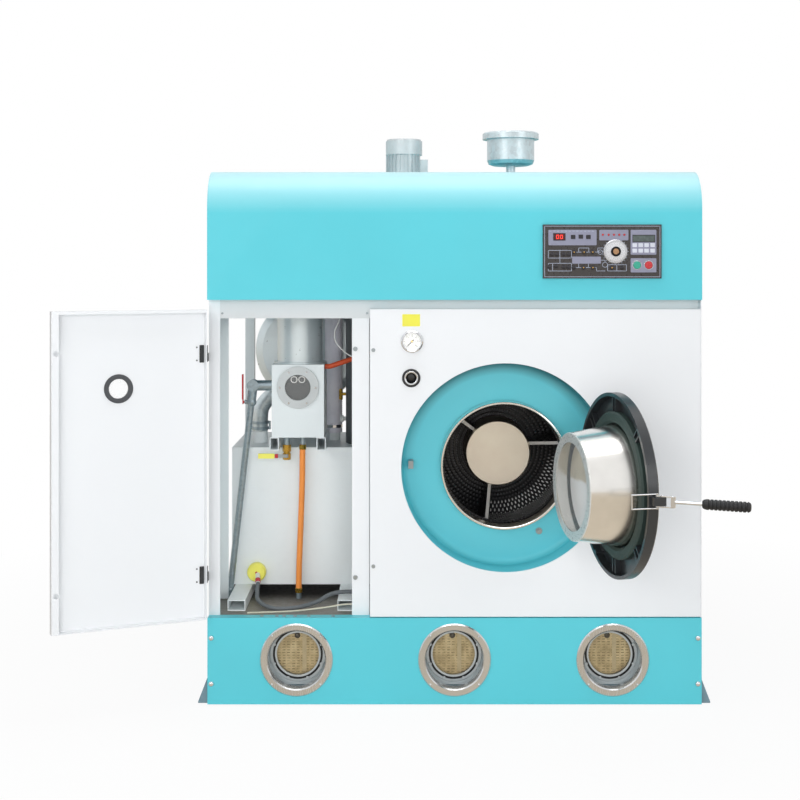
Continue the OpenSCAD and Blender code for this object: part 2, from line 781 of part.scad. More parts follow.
module drive_motor() {
    y1 = pulley_front - 30;
    y0 = y1 - motor_len;
    color("slategray") {
        difference() {
            union() {
                rod_y(motor_x, motor_z, y0, y1, motor_r - 8, 72);
                for (i = [0:17]) translate([motor_x, 0, motor_z]) rotate([0, i * 20, 0])
                    block([motor_r - 12, y0 + 50, -2], [motor_r, y1 - 20, 2]);
                rod_y(motor_x, motor_z, y0, y0 + 45, motor_r, 72);
                block([motor_x - 90, y0 + 60, cover_top], [motor_x + 90, y1 - 40, cover_top + 12]);
                for (s = [-1, 1]) block([motor_x + s * 60 - 8, y0 + 60, cover_top + 10],
                    [motor_x + s * 60 + 8, y1 - 40, motor_z - 50]);
                block([motor_x - 45, y0 + 90, motor_z + 80], [motor_x + 45, y1 - 70, motor_z + 125]);
            }
            rod_y(motor_x, motor_z, y1 - 60, y1 + 1, motor_shaft_r + run_fit, 48);
        }
    }
}

module motor_pulley() {
    color("dimgray") {
        pulley(motor_x, motor_z, motor_pulley_r, motor_shaft_r - 1);
        rod_y(motor_x, motor_z, pulley_front - 80, pulley_front + pulley_w + 6, motor_shaft_r, 48);
    }
}

module belt_loop(clear) {
    hull() {
        translate([load_x, load_z]) circle(r = pulley_r - belt_h + clear, $fn = 96);
        translate([motor_x, motor_z]) circle(r = motor_pulley_r - belt_h + clear, $fn = 48);
    }
}

module drive_belts() {
    g0 = pulley_w / 2 - (belt_count - 1) * groove_pitch / 2;
    color("black") for (i = [0:belt_count - 1])
        translate([0, pulley_front + g0 + i * groove_pitch + belt_w / 2, 0]) rotate([90, 0, 0])
            linear_extrude(belt_w) difference() {
                belt_loop(belt_h + belt_seat);
                belt_loop(belt_seat);
            }
}

// ---- Loading door, drawn closed and turned to its open rest position ----

module door_disc() {
    color("dimgray") door_open() {
        turned(load_x, load_z, [
            [0, plate_front], [door_r - 4, plate_front], [door_r, plate_front + 4], [door_r, rim_y],
            [door_r - 12, rim_y], [door_r - 12, plate_back], [0, plate_back]], 144);
        // Paired radial ribs between the gasket and the rim
        for (a = [0, 45, 135, 180, 225, 315], s = [-1, 1])
            translate([load_x, 0, load_z]) rotate([0, a - 90 + s * 2.4, 0])
                block([gasket_r + gap, plate_back - small, -2.5], [door_r - 11.9, rim_y - 8, 2.5]);
        // Catch block on the rim with the bore for the latch lever's pin
        difference() {
            block([latch_x - 7, latch_y - 9, load_z - 13], [load_x - door_r + 3, rim_y - 6, load_z + 13]);
            rod_y(load_x, load_z, plate_front - 30, rim_y + 1, door_r + seam, 144);
            translate([latch_x, latch_y, load_z - 20]) cylinder(r = 4 + run_fit, h = 40, $fn = 32);
        }
        // Stud that meets the switch stud in the recess
        translate([stud_x, plate_back, stud_z]) rotate([-90, 0, 0]) cylinder(r = 3, h = 30, $fn = 24);
        translate([stud_x, plate_back + 30, stud_z]) rotate([-90, 0, 0]) cylinder(r = 9, h = 3, $fn = 24);
    }
}

module door_gasket() {
    color("darkslategray") door_open() turned(load_x, load_z, [
        [cone_base_r + 4, plate_back], [gasket_r, plate_back], [gasket_r, gasket_face - 6],
        [gasket_r - 6, gasket_face],
        [cone_base_r + 12, gasket_face], [cone_base_r + 4, gasket_face - 8]], 144);
}

module door_cone() {
    color("silver") door_open() turned(load_x, load_z, [
        [cone_base_r - 2, plate_back], [cone_base_r, plate_back], [cone_tip_r, cone_tip - 3],
        [cone_tip_r - 3, cone_tip],
        [door_glass_r, cone_tip], [door_glass_r, cone_tip - 4], [cone_tip_r - 5, cone_tip - 4]], 144);
}

module door_glass() {
    color("lightcyan") door_open() turned(load_x, load_z,
        [[0, cone_tip - 14], [door_glass_r + 14, cone_tip - 14], [door_glass_r + 14, cone_tip - 4],
         [0, cone_tip - 4]], 96);
}

module hinge_brackets() {
    half = 60;
    ear = 22;
    y1 = recess_floor;
    color("dimgray") {
        difference() {
            block([hinge_x - 8, hinge_y + 26, load_z - half], [hinge_x + 30, y1, load_z + half]);
            turned(load_x, load_z, concat([[recess_r - 25, y1 + 1], [recess_r - 25, y1 - gap]],
                dish_corner(22 - gap),
                [[recess_r - 3 - gap, y1 - 22], [recess_r - 3 - gap, front], [recess_r + 60, front],
                 [recess_r + 60, y1 + 1]]), 144);
        }
        for (z = [load_z - half, load_z + half - ear]) translate([0, 0, z]) linear_extrude(ear) {
            translate([hinge_x, hinge_y]) circle(r = 18, $fn = 48);
            translate([hinge_x - 8, hinge_y]) square([26, 30]);
        }
        translate([hinge_x, hinge_y, load_z - half - 4]) cylinder(r = hinge_pin_r, h = 2 * half + 8, $fn = 48);
    }
    // Lower halves of the service door's hinges, with their pins
    color("black") for (z = service_hinge_z) {
        translate([service_x, service_y, z - hinge_h / 2]) {
            cylinder(r = barrel_r, h = hinge_h / 2 - gap, $fn = 32);
            cylinder(r = service_pin_r, h = hinge_h - 2, $fn = 32);
        }
        block([-side - sheet, service_y + 2, z - hinge_h / 2], [-side, frame_front + 30, z - gap]);
    }
}

module hinge_arm() {
    half = 60 - 22 - gap;
    pad = rim_setback - rim_depth;
    color("dimgray") door_open() translate([hinge_x, hinge_y, load_z - half]) difference() {
        union() {
            cylinder(r = 17, h = 2 * half, $fn = 48);
            linear_extrude(2 * half) polygon([[-2, -15], [-150, 18], [-150, pad], [-62, pad], [-2, 15]]);
        }
        translate([0, 0, -1]) cylinder(r = hinge_pin_r + run_fit, h = 2 * half + 2, $fn = 48);
    }
}

module latch_lever() {
    color("silver") door_open() translate([latch_x, latch_y, load_z]) {
        cylinder(r = 4, h = 38, center = true, $fn = 32);
        for (s = [-1, 1]) translate([0, 0, s * 16 - 2]) linear_extrude(4) {
            circle(r = 8, $fn = 32);
            translate(bail_off) circle(r = 5, $fn = 32);
            polygon([[-6, -2], [bail_off[0] - 4, bail_off[1]], [bail_off[0] + 4, bail_off[1]], [7, 0]]);
            rotate(-lever_dir) translate([-6, -34]) square([12, 34]);
        }
        rotate([0, 0, -lever_dir]) {
            block([-7.5, -38, -17], [7.5, -26, 17]);
            translate([0, -37, 0]) rotate([90, 0, 0])
                cylinder(r = 5.5, h = lever_len - grip_len - 37, $fn = 32);
        }
        for (s = [-1, 1]) translate([bail_off[0], bail_off[1], s * 19 - 4]) cylinder(r = 2.2, h = 8, $fn = 24);
    }
}

module latch_grip() {
    r = grip_r;
    l = grip_len;
    ribs = [for (i = [0:9]) let (y = 12 + i * 12)
        each [[r, y], [r, y + 7], [r - 2.5, y + 8], [r - 2.5, y + 11]]];
    color("black") door_open() translate([latch_x, latch_y, load_z]) rotate([0, 0, -lever_dir])
        translate([0, -(lever_len - grip_len), 0]) rotate([90, 0, 0]) rotate_extrude($fn = 48)
            polygon(concat([[0, 0], [r - 5, 0], [r - 2, 4]], ribs,
                [[r, 134], [r - 3, l - 2], [r - 6, l], [0, l]]));
}

module latch_bail() {
    w = bail_wire;
    color("silver") door_open() translate([latch_x + bail_off[0], latch_y + bail_off[1], load_z]) {
        for (s = [-1, 1]) translate([0, 0, s * bail_half]) {
            translate([0, 0, -w]) linear_extrude(2 * w) difference() {
                circle(r = 5, $fn = 32);
                circle(r = 2.2 + run_fit, $fn = 24);
            }
            rod_y(0, 0, 4.5, bail_len - w, w, 24);
            translate([0, bail_len - w, 0]) sphere(r = w, $fn = 24);
        }
        translate([0, bail_len - w, -bail_half]) cylinder(r = w, h = 2 * bail_half, $fn = 24);
    }
}

module keeper() {
    x = latch_x - 25;
    color("silver") {
        block([x, recess_floor - 4, load_z - 14], [x + 18, recess_floor, load_z + 14]);
        block([x, recess_floor - 45, load_z - 14], [x + 5, recess_floor, load_z + 14]);
        block([x, recess_floor - 45, load_z - 14], [x + 18, recess_floor - 26, load_z + 14]);
        rod_y(stud_x, stud_z, recess_floor - 14, recess_floor, 7, 32);
        rod_y(stud_x, stud_z, recess_floor - 4, recess_floor, 12, 32);
    }
}

// ---- Service door, drawn closed and turned to its open rest position ----

module service_door() {
    x1 = door_left + service_w;
    back_y = front + pan_depth;
    win_x = service_x + window_off;
    color("white") service_open_pose() difference() {
        block([door_left, front, panel_bottom + 1], [x1, front + pan_depth, panel_top - 1]);
        block([door_left + sheet, front + sheet, panel_bottom + 1 + sheet],
            [x1 - sheet, front + pan_depth + 1, panel_top - 1 - sheet]);
        rod_y(win_x, window_z, front - 1, front + sheet + 1, window_r - 12, 72);
    }
    // Flanges folded inward along the top and the free edge, with holes for the catches on the jamb
    color("white") service_open_pose() difference() {
        union() {
            block([x1 - flange_w, back_y - sheet, panel_bottom + 2], [x1 - small, back_y, panel_top - 2]);
            block([door_left + small, back_y - sheet, panel_top - 12], [x1 - small, back_y, panel_top - 2]);
        }
        for (z = jamb_bolt_z) rod_y(jamb_bolt_x, z, back_y - sheet - 1, back_y + 1, jamb_bolt_r + 0.8, 32);
    }
    color("black") service_open_pose() for (z = service_hinge_z) difference() {
        union() {
            translate([service_x, service_y, z + gap]) cylinder(r = barrel_r, h = hinge_h / 2 - gap, $fn = 32);
            block([service_x, service_y + 1, z + gap], [door_left, service_y + 13, z + hinge_h / 2]);
            block([door_left - 2, service_y + 7, z - hinge_h / 2], [door_left + small, service_y + 33, z + hinge_h / 2]);
        }
        translate([service_x, service_y, z - 1]) cylinder(r = service_pin_r + run_fit, h = hinge_h, $fn = 32);
    }
}

module window_ring() {
    x = service_x + window_off;
    color("dimgray") service_open_pose() turned(x, window_z, [
        [window_r - 16, front - 5], [window_r - 3, front - 5], [window_r, front - 2], [window_r, front],
        [window_r - 12 - gap, front], [window_r - 12 - gap, front + sheet], [window_r, front + sheet],
        [window_r, front + sheet + 3], [window_r - 3, front + sheet + 6], [window_r - 16, front + sheet + 6]], 72);
    color("lightcyan") service_open_pose() rod_y(x, window_z, front, front + sheet, window_r - 16 - gap, 72);
}

// ---- Controls, drawn on the front of the hood and the front panel ----

module control_panel() {
    color("dimgray") difference() {
        union() {
            block([panel_x, panel_face, panel_z], [panel_x + panel_w, front - hood_proud, panel_z + panel_h]);
            // Raised pads: display, lamps, keypad and push buttons
            block([panel_x + 19, panel_face - 1.5, panel_z + 117], [panel_x + 187, panel_face, panel_z + 171]);
            block([panel_x + 197, panel_face - 1.5, panel_z + 141], [panel_x + 299, panel_face, panel_z + 171]);
            block([panel_x + 307, panel_face - 1.5, panel_z + 84], [panel_x + 397, panel_face, panel_z + 171]);
            block([panel_x + 307, panel_face - 1.5, panel_z + 21], [panel_x + 397, panel_face, panel_z + 71]);
        }
        rod_y(dial_x, dial_z, panel_face - 2, panel_face + 9, 6 + run_fit, 32);
        for (x = [start_x, stop_x]) rod_y(x, button_z, panel_face - 2, panel_face + 9, button_r + 0.5, 48);
    }
}

module program_dial() {
    color("silver") turned(dial_x, dial_z, [
        [0, panel_face - 16], [dial_r - 26, panel_face - 16], [dial_r - 24, panel_face - 14],
        [dial_r - 24, panel_face - 7], [dial_r - 2, panel_face - 6], [dial_r, panel_face - 4],
        [dial_r, panel_face - gap], [6, panel_face - gap], [6, panel_face + 8], [0, panel_face + 8]], 72);
}

// A round push button with a domed face
module push_button(x) {
    turned(x, button_z, [[0, panel_face - button_proud], [button_r - 3, panel_face - button_proud + 0.5],
        [button_r, panel_face - button_proud + 2.5], [button_r, panel_face + 9 - button_travel - gap],
        [0, panel_face + 9 - button_travel - gap]], 48);
}

module start_button() {
    color("green") push_button(start_x);
}

module stop_button() {
    color("red") push_button(stop_x);
}

module pressure_gauge() {
    r = gauge_r;
    color("silver") difference() {
        turned(gauge_x, gauge_z, [[0, front - 2], [r - 8, front - 2], [r - 8, front - 14], [r - 5, front - 17],
            [r - 1, front - 14], [r, front - 8], [r, front], [r - 3 - gap, front], [r - 3 - gap, front + 26],
            [12, front + 26], [12, front + 44], [0, front + 44]], 72);
        rod_y(gauge_x, gauge_z, front - 20, front + 6, 2 + run_fit, 24);
    }
}

module gauge_needle() {
    len = gauge_r - 13;
    color("black") {
        rod_y(gauge_x, gauge_z, front - 6, front + 5, 2, 24);
        rod_y(gauge_x, gauge_z, front - 6, front - 4, 4, 24);
        translate([gauge_x, front - 4, gauge_z]) rotate([90, 0, 0]) rotate([0, 0, 135]) linear_extrude(1.2)
            polygon([[-2, -8], [2, -8], [0.6, len], [-0.6, len]]);
    }
}

module level_sight() {
    r = sight_r;
    color("dimgray") turned(sight_x, sight_z, [[20, front - 8], [r - 3, front - 8], [r, front - 5], [r, front],
        [r - 4 - gap, front], [r - 4 - gap, front + 90], [0, front + 90], [0, front + 84], [20, front + 84]], 72);
}

// ---- Service bay ----

module still_tank() {
    x1 = still_x + still_w;
    y1 = still_y + still_d;
    color("lightgray") {
        difference() {
            block([still_x, still_y, still_z], [x1, y1, still_top]);
            block([still_x + tank_wall, still_y + tank_wall, still_z + tank_wall],
                [x1 - tank_wall, y1 - tank_wall, still_top - tank_wall]);
        }
        // Necks for the two hoses on top
        translate([hose_x, hose_y, still_top]) cylinder(r = neck_r, h = 46, $fn = 48);
        translate([elbow_x, elbow_y, still_top]) cylinder(r = 29, h = 45, $fn = 48);
        block([still_x + 20, still_y - 1.5, still_z], [x1, still_y, still_z + 4]);
    }
    // Carrier tubes and the separator's carriers
    color("silver") for (x = carrier_x) difference() {
        block([x, frame_front + 58, cover_top], [x + 64, still_y + still_d - 20, still_z - gap]);
        block([x + sheet, frame_front + 57, cover_top + sheet],
            [x + 64 - sheet, still_y + still_d - 19, still_z - gap - sheet]);
    }
    color("silver") for (x = [sep_x - 8, sep_x + sep_w - 28]) difference() {
        block([x, sep_y, still_top], [x + 34, hose_y - ribbed_r - 8, sep_z]);
        block([x + 3, sep_y - 1, still_top + 3], [x + 31, hose_y - ribbed_r - 7, sep_z - 3]);
    }
}

module separator() {
    x1 = sep_x + sep_w;
    y1 = sep_y + sep_d;
    color("gainsboro") {
        difference() {
            block([sep_x, sep_y, sep_z], [x1, y1, sep_top]);
            block([sep_x + sheet, sep_y + sheet, sep_z + sheet], [x1 - sheet, y1 - sheet, sep_top - sheet]);
            rod_y(column_x, sep_sight_z, sep_y - 1, sep_y + sheet + 1, 48, 72);
        }
        for (s = [-1, 1]) difference() {
            rod_y(column_x + s * 13, sep_sight_z + 34, sep_y + 60, y1 - sheet, 12, 32);
            rod_y(column_x + s * 13, sep_sight_z + 34, sep_y + 59, sep_y + 100, 10, 32);
        }
    }
}

module vapour_column() {
    over = condenser_y + 130;
    top = [column_x, column_y, crossover_z];
    far = [condenser_x, over, crossover_z];
    color("gainsboro") {
        translate([column_x, column_y, sep_top]) {
            difference() {
                cylinder(r = column_r, h = column_h, $fn = 96);
                translate([0, 0, 4]) cylinder(r = column_r - 4, h = column_h - 8, $fn = 96);
            }
            cylinder(r = column_r + 12, h = 6, $fn = 96);
        }
        // Crossover pipe to the condenser's nozzle
        pipe([column_x, column_y, sep_top + column_h - 1], top, crossover_r, 48);
        translate(top) sphere(r = crossover_r + 3, $fn = 48);
        pipe(top, far, crossover_r, 48);
        translate(far) sphere(r = crossover_r + 3, $fn = 48);
        pipe(far, [condenser_x, over, condenser_z + condenser_r + 20], crossover_r, 48);
    }
}

module condenser() {
    x = condenser_x;
    z = condenser_z;
    r = condenser_r;
    y = condenser_y;
    color("gainsboro") {
        difference() {
            union() {
                turned(x, z, [[0, y], [r - 30, y], [r - 4, y + 12], [r, y + 22], [r, y + condenser_len - 22],
                    [r - 4, y + condenser_len - 12], [r - 30, y + condenser_len], [0, y + condenser_len]], 96);
                translate([x, y + 130, z + r - 10]) cylinder(r = crossover_r + 5, h = 30, $fn = 48);
            }
            rod_y(x, z, y + 12, y + condenser_len - 12, r - 6, 96);
        }
        for (dy = [26, 120]) difference() {
            block([x - 110, y + dy, still_top], [x + 110, y + dy + 12, z - r + 60]);
            rod_y(x, z, y + dy - 1, y + dy + 13, r - 3, 96);
        }
    }
}

module ribbed_hose() {
    z0 = still_top + 30;
    z1 = hood_bottom + 60;
    r = ribbed_r;
    bore = 29.8;
    count = floor((z1 - z0 - 4 * r) / rib_pitch);
    start = z0 + 2 * r;
    color("thistle") translate([hose_x, hose_y, 0]) rotate_extrude($fn = 8)
        polygon(concat([[bore, z0], [r - 1, z0], [r - 1, start]],
            [for (i = [0:count - 1]) each [[r - 2.5, start + i * rib_pitch], [r, start + (i + 0.5) * rib_pitch]]],
            [[r - 1, start + count * rib_pitch], [r - 1, z1], [bore, z1]]));
    // Hose clamps and the upper neck
    color("silver") translate([hose_x, hose_y, z1 - 40])
        cylinder(r = bore - gap, h = duct_bottom - z1 + 40, $fn = 48);
}

module pipework() {
    y = pipe_y;
    bore = 4 + run_fit;
    color("lightsteelblue") difference() {
        union() {
            pipe([sep_x, y, pipe_top[2]], pipe_top, 19.5);
            rod_y(pipe_top[0], pipe_top[2], y - 22, y + 22, 22, 32);
            pipe(pipe_top, pipe_low, 12);
            pipe(pipe_top, pipe_top + 0.07 * (pipe_low - pipe_top), 17);
            translate(pipe_low) sphere(r = 15.5, $fn = 32);
            translate([pipe_low[0], pipe_low[1], cover_top]) cylinder(r = 15, h = 28, $fn = 32);
            // Ball valve body for the red lever
            translate([water_x, y, water_z]) sphere(r = 18, $fn = 32);
            pipe([water_x, y, water_z], [water_x - 26, y, water_z], 8);
            // Nipple and drain valve under the separator
            translate([drain_x, y, drain_z + 35]) cylinder(r = 11, h = sep_z - drain_z - 35, $fn = 32);
            translate([drain_x, y, drain_z - 17]) cylinder(r = 15, h = 24, $fn = 6);
            translate([drain_x, y, drain_z + 7]) cylinder(r = 12, h = 10, $fn = 32);
            translate([drain_x, y, drain_z + 13]) cylinder(r = 16, h = 26, $fn = 6);
            rod_y(drain_x, drain_z, y - 24, y, 7, 32);
            // Hose unions above and below the orange hose
            translate([orange_x, y, still_top + 19]) cylinder(r = 9, h = sep_rise - 19, $fn = 32);
            translate([orange_low, y, cover_top]) cylinder(r = 10, h = 21, $fn = 32);
        }
        pipe([water_x - 12, y, water_z], [water_x - 30, y, water_z], bore);
        rod_y(drain_x, drain_z, y - 26, y - 8, bore, 32);
    }
}

module drain_lever() {
    y = pipe_y;
    z = drain_z;
    color("gold") {
        rod_y(drain_x, z, y - 30, y - 9, 4, 32);
        block([drain_x - 104, y - 30, z - 6], [drain_x + 8, y - 26, z + 6]);
        block([drain_x - 104, y - 33, z - 9], [drain_x - 44, y - 23, z + 9]);
        block([drain_x - 42, y - 32, z - 7.5], [drain_x - 30, y - 24, z + 7.5]);
    }
}

module water_lever() {
    y = pipe_y;
    x = water_x - 34;
    z = water_z;
    color("firebrick") {
        pipe([x + 21, y, z], [x, y, z], 4);
        block([x, y - 7, z - 8], [x + 4, y + 7, z + 12]);
        block([x - 2, y - 6, z + 10], [x + 4, y + 6, z + 104]);
    }
}

module hoses() {
    color("orange") bent_tube(orange_route, 11, [0, 1, 0], 12, 2);
    color("tomato") bent_tube(red_route, 9.5, [0, 0, 1], 8, 2);
    color("gray") bent_tube(conduit_route, 8, [0.3, 0.2, 0.1], 8, 2);
    color("khaki") bent_tube(thin_route, 3, [0, 0, 1], 8, 2);
    color("silver") bent_tube(elbow_route, 30, [1, -1, -0.4], 12, 2);
}

module heater_cap() {
    x = heater_x;
    z = heater_z;
    y = still_y;
    root = [x + 5, y - 28, z - 6];
    color("gold") {
        turned(x, z, [[0, y - 30], [31, y - 30], [35.5, y - 24], [35.5, y - 4], [30, y], [0, y]], 72);
        pipe(root, cap_hose + 1.2 * unit(root - cap_hose), 9);
    }
}

module filter_housing() {
    color("dimgray") translate([filter_x, filter_y, still_top]) {
        difference() {
            cylinder(r = filter_r, h = filter_h, $fn = 96);
            translate([0, 0, 5]) cylinder(r = filter_r - 5, h = filter_h - 10, $fn = 96);
        }
        translate([0, 0, filter_h - 1]) cylinder(r = 40, h = 30, $fn = 48);
    }
}

// ---- Roof and air circulation ----

module fan_motor() {
    r = fan_motor_r;
    color("silver") translate([fan_x, roof_y, hood_top]) difference() {
        union() {
            cylinder(r = r + 12, h = 6, $fn = 72);
            cylinder(r = r - 8, h = fan_motor_h - 2, $fn = 72);
            translate([0, 0, fan_motor_h * 0.62]) cylinder(r = r, h = fan_motor_h * 0.38 - 6, $fn = 72);
            translate([0, 0, fan_motor_h - 6]) cylinder(r = r - 5, h = 6, $fn = 72);
            for (a = [30:15:330]) rotate([0, 0, a])
                block([r - 12, -1.5, 14], [r - 0.6, 1.5, fan_motor_h * 0.62 + 2]);
            block([r - 12, -28, 30], [r + 22, 28, 82]);
        }
        translate([0, 0, -1]) cylinder(r = 12 + run_fit, h = 60, $fn = 48);
    }
}

module fan_housing() {
    z0 = housing_top - housing_h;
    y0 = roof_y - duct_half;
    y1 = roof_y + duct_half;
    color("silver") {
        difference() {
            translate([fan_x, roof_y, z0]) cylinder(r = fan_r, h = housing_h, $fn = 96);
            translate([fan_x, roof_y, z0 + sheet]) cylinder(r = fan_r - sheet, h = housing_h - 2 * sheet, $fn = 96);
            translate([fan_x, roof_y, z0 - 1]) cylinder(r = 110, h = sheet + 2, $fn = 72);
            translate([fan_x, roof_y, z0 + housing_h - sheet - 1]) cylinder(r = 16, h = sheet + 2, $fn = 48);
        }
        // Air duct from the tub to the inlet of the fan
        difference() {
            union() {
                block([hose_x - 45, y0, duct_bottom], [load_x + 120, y1, z0]);
                block([load_x - 120, y0, load_z + 240], [load_x + 120, y1, z0 - 100]);
            }
            block([hose_x - 42, y0 + 3, duct_bottom + 3], [load_x + 117, y1 - 3, z0 - 3]);
            block([load_x - 117, y0 + 3, load_z + 200], [load_x + 117, y1 - 3, z0 - 97]);
            rod_y(load_x, load_z, y0 - 1, y1 + 1, tub_r + tub_wall + small, 144);
            translate([fan_x, roof_y, z0 - 4]) cylinder(r = 110, h = 6, $fn = 72);
        }
    }
}

module fan_impeller() {
    z0 = housing_top - housing_h;
    color("silver") translate([fan_x, roof_y, 0]) {
        translate([0, 0, z0 + 30]) cylinder(r = 12, h = housing_top - z0 + 25, $fn = 48);
        translate([0, 0, z0 + 130]) cylinder(r = 165, h = 4, $fn = 96);
        for (a = [0:36:324]) rotate([0, 0, a]) block([70, -2, z0 + 40], [160, 2, z0 + 131]);
        difference() {
            translate([0, 0, z0 + 36]) cylinder(r = 165, h = 4, $fn = 96);
            translate([0, 0, z0 + 35]) cylinder(r = 105, h = 6, $fn = 96);
        }
    }
}

module roof_vessel() {
    r = vessel_r;
    z = hood_top + vessel_neck;
    color("silver") translate([vessel_x, roof_y, 0]) {
        translate([0, 0, hood_top]) cylinder(r = 30, h = 6, $fn = 48);
        translate([0, 0, hood_top]) cylinder(r = 18.5, h = vessel_neck + 4, $fn = 48);
        difference() {
            rotate_extrude($fn = 96) polygon([[0, z], [r - 22, z], [r - 6, z + 6], [r, z + 20], [r, z + vessel_h],
                [r + 18, z + vessel_h], [r + 18, z + vessel_h + 22], [r + 12, z + vessel_h + 27],
                [0, z + vessel_h + 27]]);
            translate([0, 0, z + 20]) cylinder(r = r - 5, h = vessel_h - 15, $fn = 96);
        }
    }
}

base_frame();
base_tank();
base_cover();
plinth();
sight_flanges();
sight_glasses();
port_trims();
frame_posts();
lintel();
front_panel();
right_panel();
hood();
hood_ends();
hood_rear();
fasteners();
recess_dish();
loading_ring();
tub();
tub_cradle();
drum();
drum_shaft();
bearing_housing();
drum_pulley();
drive_motor();
motor_pulley();
drive_belts();
door_disc();
door_gasket();
door_cone();
door_glass();
hinge_brackets();
hinge_arm();
latch_lever();
latch_grip();
latch_bail();
keeper();
service_door();
window_ring();
control_panel();
program_dial();
start_button();
stop_button();
pressure_gauge();
gauge_needle();
level_sight();
still_tank();
separator();
vapour_column();
condenser();
ribbed_hose();
pipework();
drain_lever();
water_lever();
hoses();
heater_cap();
filter_housing();
fan_motor();
fan_housing();
fan_impeller();
roof_vessel();
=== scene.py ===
import math

import bpy
from mathutils import Matrix, Vector


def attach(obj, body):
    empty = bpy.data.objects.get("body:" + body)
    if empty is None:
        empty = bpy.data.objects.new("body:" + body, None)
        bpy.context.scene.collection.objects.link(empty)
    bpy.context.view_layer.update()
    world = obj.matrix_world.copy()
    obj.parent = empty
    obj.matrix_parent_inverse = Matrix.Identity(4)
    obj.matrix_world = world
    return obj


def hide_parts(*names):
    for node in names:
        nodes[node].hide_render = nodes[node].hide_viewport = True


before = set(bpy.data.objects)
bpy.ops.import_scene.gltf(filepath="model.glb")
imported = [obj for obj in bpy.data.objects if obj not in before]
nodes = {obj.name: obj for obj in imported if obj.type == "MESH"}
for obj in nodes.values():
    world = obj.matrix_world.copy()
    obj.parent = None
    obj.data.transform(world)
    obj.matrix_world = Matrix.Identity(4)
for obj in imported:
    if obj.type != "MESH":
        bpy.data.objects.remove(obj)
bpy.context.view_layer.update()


def about(x, y, degrees):
    """A turn round the upright line through x, y."""
    pin = Vector((x, y, 0.0))
    return Matrix.Translation(pin) @ Matrix.Rotation(math.radians(degrees), 4, "Z") @ Matrix.Translation(-pin)


# ---- Places from the part, in metres ----
LOAD = (0.181, 0.843)                 # axis of the drum and the loading door: x, z
DOOR = about(0.506, -0.640, 103)      # takes the loading door from shut to rest
SERVICE = about(-0.879, -0.604, -157)     # takes the service door from shut to rest
SERVICE_WINDOW = (-0.568, 1.135)      # x, z with the door shut
PORTS = (-0.560, 0.0, 0.560)          # x of the sight glasses in the plinth
PORT_Z = 0.164
SEPARATOR_SIGHT = (-0.574, 1.105)     # x, z
HEATER_CAP = (-0.735, 0.401)          # x, z
SLEEVE = (-0.457, -0.029)             # upright axis of the ribbed hose: x, y
ELBOW_DUCT = (-0.739, -0.113)         # upright axis of the elbow duct's lower end: x, y
GAUGE = (-0.1506, 1.2907)             # x, z
LEVEL_SIGHT = (-0.1534, 1.161)        # x, z
DIAL = (0.566, 1.609)                 # x, z
HOLES_ROUND, HOLE_PITCH = 96, 0.016   # the drum's holes


def rgb(code):
    parts = [int(code[i:i + 2], 16) / 255 for i in (1, 3, 5)]
    return tuple(c / 12.92 if c <= 0.04045 else ((c + 0.055) / 1.055) ** 2.4 for c in parts) + (1.0,)


def shade(color, k):
    return tuple(min(c * k, 1.0) for c in color[:3]) + (1.0,)


# ---- Node helpers ----
def add_node(tree, kind, inputs=None, **settings):
    """Adds a shader node. Its inputs get a number or colour, or a link from another node's output."""
    node = tree.nodes.new("ShaderNode" + kind)
    for key, value in settings.items():
        setattr(node, key, value)
    for key, value in (inputs or {}).items():
        put(tree, node.inputs[key], value)
    return node


def put(tree, socket, value):
    if isinstance(value, (int, float, tuple)):
        socket.default_value = value
    else:
        tree.links.new(value, socket)


def ray_is(tree, *kinds):
    """1 where a ray is of one of these kinds, else 0."""
    path = add_node(tree, "LightPath")
    value = path.outputs[kinds[0]]
    for kind in kinds[1:]:
        value = add_node(tree, "Math", {0: value, 1: path.outputs[kind]}, operation="MAXIMUM").outputs[0]
    return value


def blend_shader(tree, fac, a, b):
    """Shader a where fac is 0, and b where it is 1."""
    return add_node(tree, "MixShader", {"Fac": fac, 1: a, 2: b}).outputs[0]


